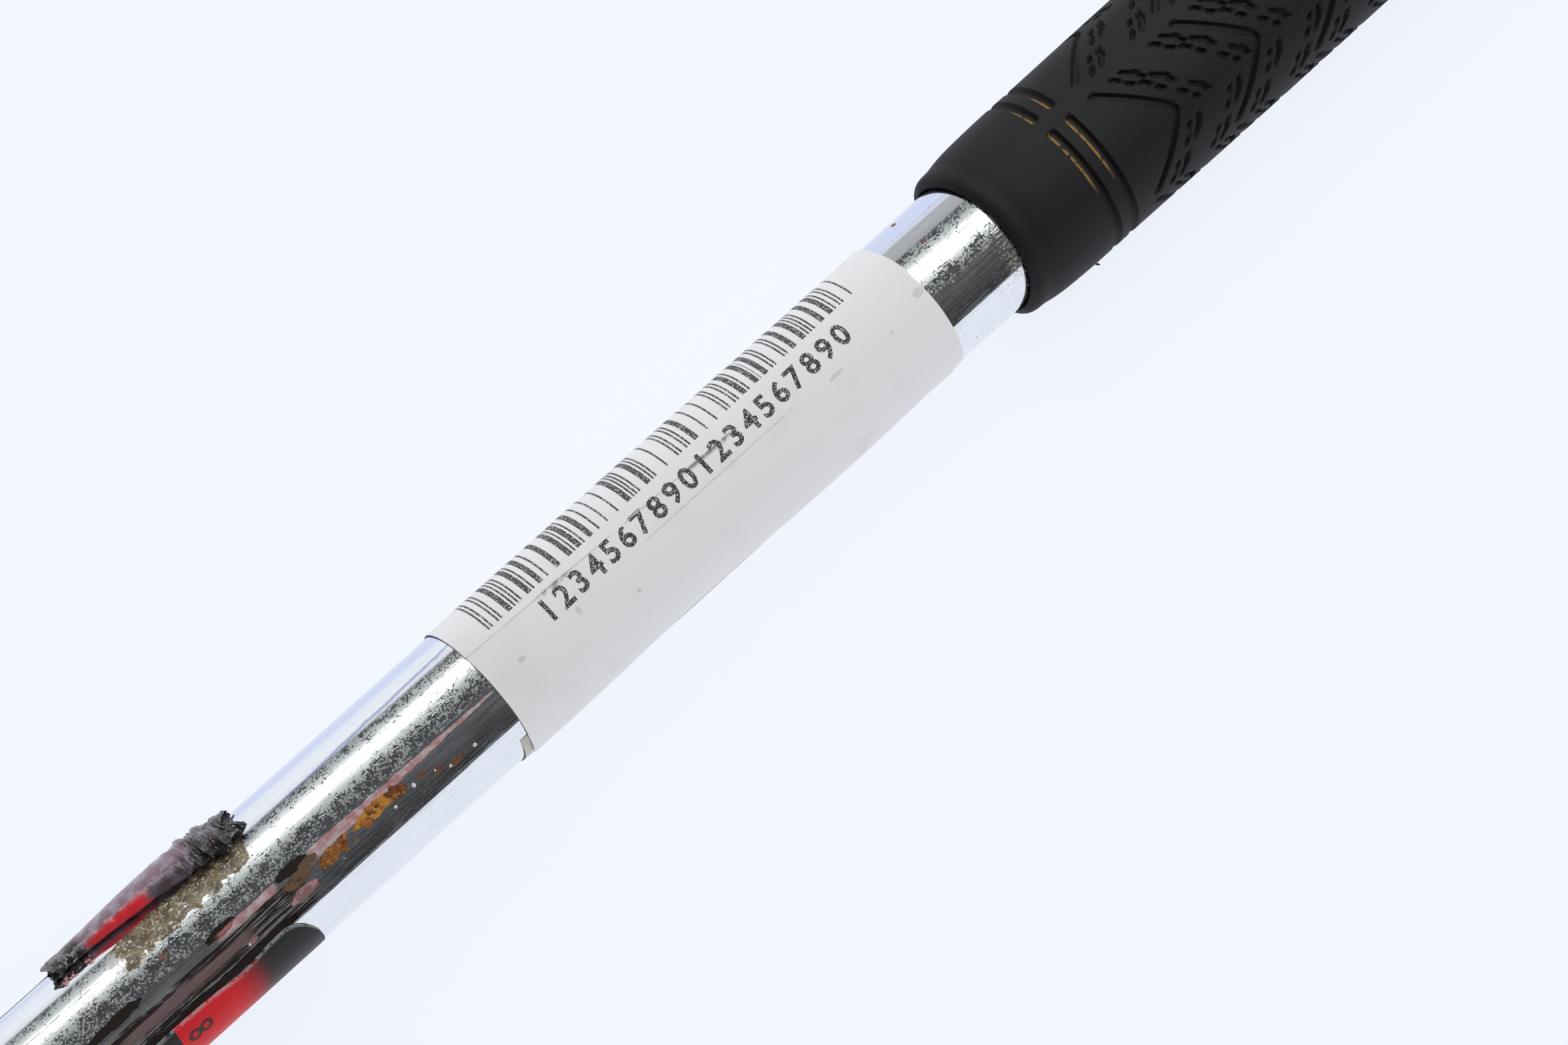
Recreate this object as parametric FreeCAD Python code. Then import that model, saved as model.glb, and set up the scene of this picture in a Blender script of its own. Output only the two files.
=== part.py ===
"""Flex-head breaker bar with a tubular handle, half inch square drive.

+X runs from the head to the butt of the grip, +Y to the side, +Z up. The bar lies flat, as it is put away.
The origin is on the centre line, at the shoulder that a socket butts against. Millimetres.
"""

import FreeCAD, Part
import math
import os

from FreeCAD import Vector

# Overall
BUTT_X = 594.0              # butt end of the closed grip; the square's tip adds DRIVE_LENGTH

# Square drive
DRIVE_SQUARE = 12.7
DRIVE_LENGTH = 16.0
DRIVE_CORNER = 1.1
DRIVE_TIP_LENGTH = 2.2      # turned chamfer that rounds the square's corners at its tip
DRIVE_TIP_OVER_FLAT = 0.55  # turned radius at the very tip, over half the square
COLLAR_OVER_CORNER = 1.42   # collar radius over the square's corner
COLLAR_LENGTH = 4.5
COLLAR_CHAMFER = 0.8

# Swinging hub and its neck
HUB_R = 15.0
HUB_THICK = 16.0
HUB_CHAMFER = 0.8
NECK_REACH = 9.0            # from the hub's rim to the shoulder
NECK_OVER_HUB = 0.3         # neck radius over half the hub's thickness, before its flats are cut

# Pivot pin and side washers
PIN_R = 4.75
PIN_RUNNING_CLEARANCE = 0.05
PIN_CHAMFER = 0.5
PIN_RECESS = 0.3            # how far each pin end sits below the ear's face
WASHER_MARGIN = 3.5         # the washer is this much smaller than the hub
WASHER_THICK = 0.8
WASHER_GAP = 0.1            # free play on each face of a washer

# Fork
EAR_THICK = 6.0
EAR_OVER_HUB = 0.0
SLOT_TO_HUB_GAP = 0.6
WEB_LENGTH = 14.0           # solid metal behind the slot, up to where the taper starts
BARREL_OVER_FLAT = 3.2      # forged barrel radius over half the distance between the two flats
TAPER_LENGTH = 11.0
BOSS_OVER_TUBE = 1.6
BOSS_LENGTH = 5.0
BOSS_CHAMFER = 1.0
FORK_FILLET = 1.0
SHANK_LENGTH = 46.0
SHANK_CLEARANCE = 0.02
SHANK_CHAMFER = 1.5

# Handle tube
TUBE_R = 12.7
TUBE_WALL = 2.6
TUBE_BUTT_GAP = 9.0         # from the tube's end to the butt of the grip

# Cross pins through the tube and the shank
CROSS_PIN_R = 2.5
CROSS_PIN_BORE_R = 1.3
CROSS_PIN_SLIT = 0.9
CROSS_PIN_CLEARANCE = 0.02
CROSS_PIN_OFFSETS = (13.0, 33.0)   # from the tube's head end
CROSS_PIN_RECESS = 0.25

# Friction plunger and spring, in a bore of the fork's web
PLUNGER_R = 3.2
PLUNGER_CLEARANCE = 0.05
PLUNGER_LENGTH = 8.0
PLUNGER_NOSE = 0.8
PLUNGER_GAP = 0.1           # to the hub's rim
PLUNGER_STEM_R = 1.5
PLUNGER_STEM_LENGTH = 4.0
FRICTION_SPRING_WIRE_R = 0.45
FRICTION_SPRING_R = 2.45
FRICTION_SPRING_LENGTH = 10.0
FRICTION_SPRING_TURNS = 6

# Detent ball and spring, in the square's upper face
BALL_R = 2.5
BALL_CLEARANCE = 0.05
BALL_PROUD = 1.1
BALL_X = -8.0
BALL_LIP = 0.2              # the staked lip closes the bore to this much less than the ball's radius
BALL_LIP_DEPTH = 0.45
DETENT_SPRING_WIRE_R = 0.3
DETENT_SPRING_R = 1.8
DETENT_SPRING_LENGTH = 5.0
DETENT_SPRING_TURNS = 5
SPRING_SEAT_GAP = 0.05

# Rubber grip
GRIP_LENGTH = 187.0
GRIP_TAPE = 0.2
GRIP_MOUTH_WALL = 0.4
GRIP_LIP_WALL = 2.0
GRIP_FLARE_WALL = 2.85
GRIP_BUTT_WALL = 3.7
GRIP_LIP_LENGTH = 3.0
GRIP_WAIST_LENGTH = 5.0
GRIP_FLARE_LENGTH = 12.5
RING_GROOVE_OFFSETS = (19.5, 23.5)  # from the mouth
RING_GROOVE_WIDTH = 1.8
RING_GROOVE_DEPTH = 0.9
CAP_RIM = 4.0               # cap outside the rubber
CAP_DOME = 1.6
CAP_SEAT_GAP = 0.05         # between the cap's spigot and the tube plug
CAP_VENT_R = 1.5

# Tube plug
PLUG_LENGTH = 14.0
PLUG_HEAD = 2.5
PLUG_LEAD = 1.0
PLUG_CLEARANCE = 0.02

# Paper label and the layer under it
LABEL_LENGTH = 100.0
LABEL_TO_GRIP = 15.0
LABEL_THICK = 0.15
LABEL_FROM = -104.0         # degrees about the tube, 0 at the top, positive towards +Y
LABEL_TO = 120.0
OLD_LABEL_FROM = -118.0
OLD_LABEL_TO = -70.0
OLD_LABEL_LENGTH = 100.8
OLD_LABEL_AHEAD = 1.8       # how far it shows past the present label's head end
SKIN_GAP = 0.03             # between the layers on the tube

# Film decal and its curled edge
FILM_TO_LABEL = 46.2
FILM_LENGTH = 92.0
FILM_THICK = 0.2
FILM_FROM = -302.0
FILM_TO = -52.0
ROLL_LENGTH = 38.0
ROLL_OFFSET = 0.7           # the roll's grip end lies this far ahead of the film's end
ROLL_SEAT_GAP = 0.1         # between the roll and the film under it
ROLL_RINGS = (              # share of its length, radius, degrees about the tube
    (0.0, 1.1, 54.0),
    (0.3, 1.6, 51.0),
    (0.7, 2.2, 45.0),
    (1.0, 1.9, 41.0),
)

# Worked out from the sizes above
DRIVE_HALF = DRIVE_SQUARE / 2
DRIVE_CORNER_R = DRIVE_HALF * math.sqrt(2)
COLLAR_R = DRIVE_CORNER_R + COLLAR_OVER_CORNER
PIVOT_X = HUB_R + NECK_REACH
NECK_R = HUB_THICK / 2 + NECK_OVER_HUB
WASHER_R = HUB_R - WASHER_MARGIN
WASHER_INNER_R = PIN_R + 2 * PIN_RUNNING_CLEARANCE
SLOT_HALF = HUB_THICK / 2 + WASHER_THICK + 2 * WASHER_GAP
FLAT_HALF = SLOT_HALF + EAR_THICK
EAR_R = HUB_R + EAR_OVER_HUB
BOSS_R = TUBE_R + BOSS_OVER_TUBE
BARREL_R = FLAT_HALF + BARREL_OVER_FLAT
SLOT_BOTTOM_X = PIVOT_X + HUB_R + SLOT_TO_HUB_GAP
TAPER_X = SLOT_BOTTOM_X + WEB_LENGTH
BOSS_X = TAPER_X + TAPER_LENGTH
TUBE_X = BOSS_X + BOSS_LENGTH
TUBE_END_X = BUTT_X - TUBE_BUTT_GAP
TUBE_INNER_R = TUBE_R - TUBE_WALL
SHANK_R = TUBE_INNER_R - SHANK_CLEARANCE
GRIP_END_X = BUTT_X - CAP_RIM
GRIP_X = GRIP_END_X - GRIP_LENGTH
GRIP_BORE_R = TUBE_R + GRIP_TAPE
GRIP_MOUTH_R = GRIP_BORE_R + GRIP_MOUTH_WALL
GRIP_LIP_R = GRIP_BORE_R + GRIP_LIP_WALL
GRIP_FLARE_R = GRIP_BORE_R + GRIP_FLARE_WALL
GRIP_BUTT_R = GRIP_BORE_R + GRIP_BUTT_WALL
LABEL_X = GRIP_X - LABEL_TO_GRIP - LABEL_LENGTH
FILM_END_X = LABEL_X - FILM_TO_LABEL
PLUNGER_X = PIVOT_X + HUB_R + PLUNGER_GAP
PLUNGER_BACK_X = PLUNGER_X + PLUNGER_LENGTH
FRICTION_SPRING_X = PLUNGER_BACK_X + SPRING_SEAT_GAP
PLUNGER_BORE_END_X = FRICTION_SPRING_X + FRICTION_SPRING_LENGTH + SPRING_SEAT_GAP
BALL_Z = DRIVE_HALF + BALL_PROUD - BALL_R
DETENT_SPRING_TOP_Z = BALL_Z - BALL_R - SPRING_SEAT_GAP
BALL_BORE_FLOOR_Z = DETENT_SPRING_TOP_Z - DETENT_SPRING_LENGTH - SPRING_SEAT_GAP

ALONG = Vector(1, 0, 0)
SIDEWAYS = Vector(0, 1, 0)
UP = Vector(0, 0, 1)


def rod(radius, start, end):
    """A solid cylinder along X, from start to end."""
    return Part.makeCylinder(radius, end - start, Vector(start, 0, 0), ALONG)


def block(x0, x1, half_y, half_z):
    """A box centred on the X axis."""
    return Part.makeBox(x1 - x0, 2 * half_y, 2 * half_z, Vector(x0, -half_y, -half_z))


def turned(*stretches):
    """A full turn about the X axis of a closed outline of (x, radius) points.

    Each stretch is a list of points: one point is a corner, and more are joined by a smooth curve.
    Straight lines join one stretch to the next, and the last to the first.
    """
    edges = []
    runs = [[Vector(x, 0, r) for x, r in stretch] for stretch in stretches]
    for run, following in zip(runs, runs[1:] + runs[:1]):
        if len(run) > 1:
            curve = Part.BSplineCurve()
            curve.interpolate(run)
            edges.append(curve.toShape())
        edges.append(Part.makeLine(run[-1], following[0]))
    return Part.Face(Part.Wire(edges)).revolve(Vector(0, 0, 0), ALONG, 360)


def corners(*points):
    """Corner points as one-point stretches."""
    return [[point] for point in points]


def quarter(centre, radius_x, radius_r, start_deg, steps=6):
    """Points of a quarter ellipse about centre, from start_deg on, 0 along +X and 90 outwards."""
    points = []
    for step in range(steps + 1):
        angle = math.radians(start_deg + 90 * step / steps)
        points.append((centre[0] + radius_x * math.cos(angle), centre[1] + radius_r * math.sin(angle)))
    return points


def ease(start, end, steps=8):
    """Points of an S-shaped blend between two (x, radius) points, level at both ends."""
    points = []
    for step in range(steps + 1):
        share = step / steps
        rise = share * share * (3 - 2 * share)
        points.append((start[0] + (end[0] - start[0]) * share, start[1] + (end[1] - start[1]) * rise))
    return points


def skin(x0, x1, inner_r, thick, from_deg, to_deg):
    """A thin layer on the tube between two angles, measured from the top towards +Y."""
    face = Part.Face(Part.makePolygon([
        Vector(x0, 0, inner_r),
        Vector(x1, 0, inner_r),
        Vector(x1, 0, inner_r + thick),
        Vector(x0, 0, inner_r + thick),
        Vector(x0, 0, inner_r),
    ]))
    face.rotate(Vector(0, 0, 0), ALONG, -from_deg)
    return face.revolve(Vector(0, 0, 0), ALONG, -(to_deg - from_deg))


def coil(coil_r, wire_r, length, turns, base, axis):
    """A coil spring whose overall length is length, from base along axis."""
    rise = length - 2 * wire_r
    helix = Part.makeHelix(rise / turns, rise, coil_r - wire_r)
    start = Vector(coil_r - wire_r, 0, 0)
    section = Part.Wire(Part.makeCircle(wire_r, start, SIDEWAYS))
    spring = Part.Wire(helix).makePipeShell([section], True, True)
    spring.translate(Vector(0, 0, wire_r))
    spring.Placement = FreeCAD.Placement(base, FreeCAD.Rotation(UP, axis)).multiply(spring.Placement)
    return spring


def edges_at(shape, test):
    """The edges of shape whose centre of mass passes test."""
    return [edge for edge in shape.Edges if test(edge.CenterOfMass, edge)]


def square_stub():
    """The male square, with rounded long edges and a turned chamfer at the tip."""
    stub = block(-DRIVE_LENGTH, COLLAR_LENGTH / 2, DRIVE_HALF, DRIVE_HALF)
    stub = stub.makeFillet(DRIVE_CORNER, edges_at(stub, lambda c, e: e.Length > DRIVE_LENGTH))
    tip = turned(*corners(
        (-DRIVE_LENGTH, 0),
        (-DRIVE_LENGTH, DRIVE_HALF + DRIVE_TIP_OVER_FLAT),
        (-DRIVE_LENGTH + DRIVE_TIP_LENGTH, DRIVE_CORNER_R),
        (COLLAR_LENGTH, DRIVE_CORNER_R),
        (COLLAR_LENGTH, 0),
    ))
    return stub.common(tip)


def hub():
    """The round of the head, about the vertical pivot axis."""
    disc = Part.makeCylinder(HUB_R, HUB_THICK, Vector(PIVOT_X, 0, -HUB_THICK / 2), UP)
    rims = edges_at(disc, lambda c, e: abs(c.z) > HUB_THICK / 2 - 0.01)
    return disc.makeChamfer(HUB_CHAMFER, rims)


def neck():
    """The collar that a socket butts against, and the neck, joined by a cove."""
    cove = COLLAR_R - NECK_R
    sweep = quarter((COLLAR_LENGTH + cove, COLLAR_R), cove, cove, 180)
    body = turned(
        *corners((PIVOT_X, 0), (0, 0), (0, COLLAR_R - COLLAR_CHAMFER), (COLLAR_CHAMFER, COLLAR_R)),
        sweep,
        *corners((PIVOT_X, NECK_R)))
    between_ears = block(COLLAR_LENGTH + cove, PIVOT_X, COLLAR_R, HUB_THICK / 2)
    return body.common(rod(COLLAR_R + 1, 0, COLLAR_LENGTH + cove).fuse(between_ears))


def ball_pocket():
    """The blind bore for the ball and its spring, narrowed at the mouth by the staked lip."""
    bore_r = BALL_R + BALL_CLEARANCE
    mouth_z = DRIVE_HALF - BALL_LIP_DEPTH
    bore = Part.makeCylinder(bore_r, mouth_z - BALL_BORE_FLOOR_Z, Vector(BALL_X, 0, BALL_BORE_FLOOR_Z), UP)
    lip_r = BALL_R - BALL_LIP
    lip = Part.makeCone(bore_r, lip_r, BALL_LIP_DEPTH, Vector(BALL_X, 0, mouth_z), UP)
    above = Part.makeCylinder(lip_r, BALL_R, Vector(BALL_X, 0, DRIVE_HALF), UP)
    return bore.fuse([lip, above])


def drive_head():
    """Hub, neck, collar and square, forged in one piece."""
    body = hub().fuse([neck(), square_stub()]).removeSplitter()
    pin_hole = Part.makeCylinder(
        PIN_R + PIN_RUNNING_CLEARANCE, HUB_THICK + 2, Vector(PIVOT_X, 0, -HUB_THICK / 2 - 1), UP)
    return body.cut(pin_hole.fuse(ball_pocket()))


def detent_ball():
    """The ball that holds a socket on the square."""
    return Part.makeSphere(BALL_R, Vector(BALL_X, 0, BALL_Z))


def detent_spring():
    """The coil spring under the ball."""
    base = Vector(BALL_X, 0, DETENT_SPRING_TOP_Z - DETENT_SPRING_LENGTH)
    return coil(DETENT_SPRING_R, DETENT_SPRING_WIRE_R, DETENT_SPRING_LENGTH, DETENT_SPRING_TURNS, base, UP)


def pivot_pin():
    """The straight pin that is pressed into both ears."""
    half = FLAT_HALF - PIN_RECESS
    pin = Part.makeCylinder(PIN_R, 2 * half, Vector(PIVOT_X, 0, -half), UP)
    return pin.makeChamfer(PIN_CHAMFER, edges_at(pin, lambda c, e: abs(c.z) > half - 0.01))


def side_washers():
    """One friction washer on each side of the hub."""
    washers = []
    for side in (-1, 1):
        low = side * (HUB_THICK / 2 + WASHER_GAP + WASHER_THICK / 2) - WASHER_THICK / 2
        disc = Part.makeCylinder(WASHER_R, WASHER_THICK, Vector(PIVOT_X, 0, low), UP)
        hole = Part.makeCylinder(WASHER_INNER_R, WASHER_THICK, Vector(PIVOT_X, 0, low), UP)
        washers.append(disc.cut(hole))
    return Part.makeCompound(washers)


def fork_outside():
    """The forged outside of the fork: flat-sided barrel, taper, boss and shank."""
    front_x = PIVOT_X - EAR_R
    barrel = turned(
        *corners((front_x, 0), (front_x, BARREL_R)),
        ease((TAPER_X, BARREL_R), (BOSS_X, BOSS_R)),
        *corners((TUBE_X - BOSS_CHAMFER, BOSS_R), (TUBE_X, BOSS_R - BOSS_CHAMFER), (TUBE_X, 0)))
    body = barrel.common(block(front_x, TUBE_X, EAR_R, FLAT_HALF))
    rounds = Part.makeCylinder(EAR_R, 2 * FLAT_HALF, Vector(PIVOT_X, 0, -FLAT_HALF), UP)
    body = body.common(rounds.fuse(block(PIVOT_X, TUBE_X, EAR_R + 1, FLAT_HALF))).removeSplitter()
    forged = edges_at(body, lambda c, e: c.x < BOSS_X - FORK_FILLET and e.Length > 4 * FORK_FILLET)
    body = body.makeFillet(FORK_FILLET, forged)
    shank = rod(SHANK_R, TUBE_X - 1, TUBE_X + SHANK_LENGTH)
    shank = shank.makeChamfer(SHANK_CHAMFER, edges_at(shank, lambda c, e: c.x > TUBE_X + SHANK_LENGTH - 0.01))
    return body.fuse(shank)


def cross_pin_holes(radius, half_length):
    """Cylinders along Y where the cross pins go."""
    return [
        Part.makeCylinder(radius, 2 * half_length, Vector(TUBE_X + offset, -half_length, 0), SIDEWAYS)
        for offset in CROSS_PIN_OFFSETS
    ]


def head_fork():
    """The yoke: two ears, the web with the plunger's bore, and the shank."""
    slot = block(PIVOT_X - EAR_R - 1, SLOT_BOTTOM_X, EAR_R + 1, SLOT_HALF)
    pin_hole = Part.makeCylinder(PIN_R, 2 * FLAT_HALF + 2, Vector(PIVOT_X, 0, -FLAT_HALF - 1), UP)
    plunger_bore = rod(PLUNGER_R + PLUNGER_CLEARANCE, SLOT_BOTTOM_X - 1, PLUNGER_BORE_END_X)
    holes = cross_pin_holes(CROSS_PIN_R + CROSS_PIN_CLEARANCE, TUBE_R)
    return fork_outside().cut([slot, pin_hole, plunger_bore] + holes)


def friction_plunger():
    """The plunger that bears on the hub's rim, with the stem that guides its spring."""
    stem_end_x = PLUNGER_BACK_X + PLUNGER_STEM_LENGTH
    return turned(*corners(
        (PLUNGER_X, 0),
        (PLUNGER_X, PLUNGER_R - PLUNGER_NOSE),
        (PLUNGER_X + PLUNGER_NOSE, PLUNGER_R),
        (PLUNGER_BACK_X, PLUNGER_R),
        (PLUNGER_BACK_X, PLUNGER_STEM_R),
        (stem_end_x, PLUNGER_STEM_R),
        (stem_end_x, 0),
    ))


def friction_spring():
    """The coil spring behind the plunger."""
    base = Vector(FRICTION_SPRING_X, 0, 0)
    return coil(
        FRICTION_SPRING_R, FRICTION_SPRING_WIRE_R, FRICTION_SPRING_LENGTH, FRICTION_SPRING_TURNS, base, ALONG)


def handle_tube():
    """The chromed tube."""
    tube = rod(TUBE_R, TUBE_X, TUBE_END_X).cut(rod(TUBE_INNER_R, TUBE_X - 1, TUBE_END_X + 1))
    return tube.cut(cross_pin_holes(CROSS_PIN_R + CROSS_PIN_CLEARANCE, TUBE_R + 1))


def shank_pins():
    """Two slit spring pins across the tube and the shank."""
    half = TUBE_R - CROSS_PIN_RECESS
    pins = []
    bores = cross_pin_holes(CROSS_PIN_BORE_R, half + 1)
    for solid, bore, offset in zip(cross_pin_holes(CROSS_PIN_R, half), bores, CROSS_PIN_OFFSETS):
        slit = Part.makeBox(
            CROSS_PIN_R + 1, 2 * half + 2, CROSS_PIN_SLIT,
            Vector(TUBE_X + offset, -half - 1, -CROSS_PIN_SLIT / 2))
        pins.append(solid.cut([bore, slit]))
    return Part.makeCompound(pins)


def tube_plug():
    """The plug that closes the butt end of the tube."""
    spigot_r = TUBE_INNER_R - PLUG_CLEARANCE
    return turned(*corners(
        (TUBE_END_X - PLUG_LENGTH, 0),
        (TUBE_END_X - PLUG_LENGTH, spigot_r - PLUG_LEAD),
        (TUBE_END_X - PLUG_LENGTH + PLUG_LEAD, spigot_r),
        (TUBE_END_X, spigot_r),
        (TUBE_END_X, TUBE_R),
        (TUBE_END_X + PLUG_HEAD, TUBE_R),
        (TUBE_END_X + PLUG_HEAD, 0),
    ))


def grip_tape():
    """The adhesive layer between the tube and the grip."""
    return rod(GRIP_BORE_R, GRIP_X + GRIP_LIP_LENGTH, TUBE_END_X).cut(
        rod(TUBE_R, GRIP_X, TUBE_END_X + 1))


def grip_radius(offset):
    """The grip's outside radius this far from the end of its flare, on its straight taper."""
    span = GRIP_LENGTH - GRIP_FLARE_LENGTH
    return GRIP_FLARE_R + (GRIP_BUTT_R - GRIP_FLARE_R) * (offset - GRIP_FLARE_LENGTH) / span


def rubber_grip():
    """The moulded grip: rolled lip, waist, bell flare, long taper and two ring grooves."""
    lip_end = (GRIP_X + GRIP_LIP_LENGTH, GRIP_MOUTH_R)
    lip = quarter(lip_end, -GRIP_LIP_LENGTH, GRIP_LIP_R - GRIP_MOUTH_R, 0)
    flare = ease((GRIP_X + GRIP_WAIST_LENGTH, GRIP_LIP_R), (GRIP_X + GRIP_FLARE_LENGTH, GRIP_FLARE_R))
    grip = turned(
        *corners((GRIP_X, GRIP_BORE_R)),
        lip,
        flare,
        *corners((GRIP_END_X, GRIP_BUTT_R), (GRIP_END_X, GRIP_BORE_R)))
    for offset in RING_GROOVE_OFFSETS:
        middle = GRIP_X + offset
        outer = GRIP_BUTT_R + 1
        floor = grip_radius(offset) - RING_GROOVE_DEPTH
        cutter = rod(outer, middle - RING_GROOVE_WIDTH / 2, middle + RING_GROOVE_WIDTH / 2)
        grip = grip.cut(cutter.cut(rod(floor, middle - RING_GROOVE_WIDTH, middle + RING_GROOVE_WIDTH)))
    return grip


def grip_cap():
    """The cap that closes the grip's butt: domed face, spigot inside the rubber, vent."""
    dome = quarter((BUTT_X - CAP_DOME, GRIP_BUTT_R - CAP_DOME), CAP_DOME, CAP_DOME, 0)
    spigot_x = TUBE_END_X + PLUG_HEAD + CAP_SEAT_GAP
    spigot_r = GRIP_BORE_R - CAP_SEAT_GAP
    return turned(
        *corners((spigot_x, CAP_VENT_R), (spigot_x, spigot_r)),
        *corners((GRIP_END_X, spigot_r), (GRIP_END_X, GRIP_BUTT_R)),
        dome[::-1],
        *corners((BUTT_X, CAP_VENT_R)))


def inventory_label():
    """The paper label, wrapped most of the way round the tube."""
    end_x = LABEL_X + LABEL_LENGTH
    inner_r = TUBE_R + 2 * SKIN_GAP + LABEL_THICK
    return skin(LABEL_X, end_x, inner_r, LABEL_THICK, LABEL_FROM, LABEL_TO)


def old_label_layer():
    """What is left of an older label, under the lower edge of the present one."""
    start_x = LABEL_X - OLD_LABEL_AHEAD
    return skin(start_x, start_x + OLD_LABEL_LENGTH, TUBE_R + SKIN_GAP, LABEL_THICK, OLD_LABEL_FROM, OLD_LABEL_TO)


def decal_film():
    """The torn film that wraps the underside of the tube."""
    return skin(FILM_END_X - FILM_LENGTH, FILM_END_X, TUBE_R + SKIN_GAP, FILM_THICK, FILM_FROM, FILM_TO)


def decal_roll():
    """The melted upper edge of the film, curled into a strip that lies along the tube."""
    end_x = FILM_END_X + ROLL_OFFSET
    seat_r = TUBE_R + SKIN_GAP + FILM_THICK + ROLL_SEAT_GAP
    rings = []
    for share, radius, turn in ROLL_RINGS:
        angle = math.radians(turn)
        off = seat_r + radius
        centre = Vector(end_x - ROLL_LENGTH * (1 - share), off * math.sin(angle), off * math.cos(angle))
        rings.append(Part.Wire(Part.makeCircle(radius, centre, ALONG)))
    return Part.makeLoft(rings, True, True)


NODES = {
    "drive_head": drive_head,
    "detent_ball": detent_ball,
    "detent_spring": detent_spring,
    "pivot_pin": pivot_pin,
    "side_washers": side_washers,
    "head_fork": head_fork,
    "friction_plunger": friction_plunger,
    "friction_spring": friction_spring,
    "shank_pins": shank_pins,
    "handle_tube": handle_tube,
    "tube_plug": tube_plug,
    "grip_tape": grip_tape,
    "rubber_grip": rubber_grip,
    "grip_cap": grip_cap,
    "inventory_label": inventory_label,
    "old_label_layer": old_label_layer,
    "decal_film": decal_film,
    "decal_roll": decal_roll,
}

os.makedirs("parts", exist_ok=True)
for name, make in NODES.items():
    shape = make()
    shape.exportStep(os.path.join("parts", name + ".step"))
    print(name, len(shape.Solids), "solids", round(shape.Volume, 1), "mm3", "valid", shape.isValid())
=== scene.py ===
"""A breaker bar: a swinging square drive, a chromed tube, a rubber grip, a stock label and a torn decal."""

import logging
import math
from dataclasses import dataclass, field
from enum import Enum
from typing import Sequence, Union

import bpy
import numpy as np
from mathutils import Matrix, Vector


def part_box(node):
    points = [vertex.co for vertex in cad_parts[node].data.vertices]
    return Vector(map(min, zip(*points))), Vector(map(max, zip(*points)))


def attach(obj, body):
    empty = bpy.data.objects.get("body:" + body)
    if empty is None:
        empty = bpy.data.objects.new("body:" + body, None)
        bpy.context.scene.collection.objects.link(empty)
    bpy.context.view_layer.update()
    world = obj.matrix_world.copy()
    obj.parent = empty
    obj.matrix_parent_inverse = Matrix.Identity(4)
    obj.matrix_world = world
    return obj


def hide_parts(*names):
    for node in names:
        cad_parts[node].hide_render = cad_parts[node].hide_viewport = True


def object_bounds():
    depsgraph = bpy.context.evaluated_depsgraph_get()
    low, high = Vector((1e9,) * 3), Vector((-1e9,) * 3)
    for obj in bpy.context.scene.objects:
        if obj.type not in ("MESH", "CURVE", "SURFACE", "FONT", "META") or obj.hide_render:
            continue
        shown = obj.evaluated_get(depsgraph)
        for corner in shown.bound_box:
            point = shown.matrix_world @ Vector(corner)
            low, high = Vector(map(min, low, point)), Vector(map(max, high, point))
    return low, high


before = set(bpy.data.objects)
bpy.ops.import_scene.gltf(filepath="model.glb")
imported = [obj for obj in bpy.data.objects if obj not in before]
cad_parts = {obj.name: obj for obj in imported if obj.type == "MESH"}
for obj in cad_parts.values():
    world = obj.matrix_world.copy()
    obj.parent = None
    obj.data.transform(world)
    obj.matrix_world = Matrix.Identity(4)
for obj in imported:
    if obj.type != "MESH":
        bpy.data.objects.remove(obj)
CAD_BOX = [[float(value) for value in corner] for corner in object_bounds()]

log = logging.getLogger("breaker_bar")

MM = 0.001


class Body(Enum):
    """The bodies that the pieces made here ride on."""

    HANDLE = "handle"


class Slot(Enum):
    """Names for the material slots of the pieces."""

    TUBE = "chromed_tube"
    RUBBER = "grip_rubber"
    LABEL = "label_paper"
    DECAL = "decal_vinyl"


# ---------------------------------------------------------------- shader sums

Operand = Union["Wire", float]
Colour = tuple[float, float, float]


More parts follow.
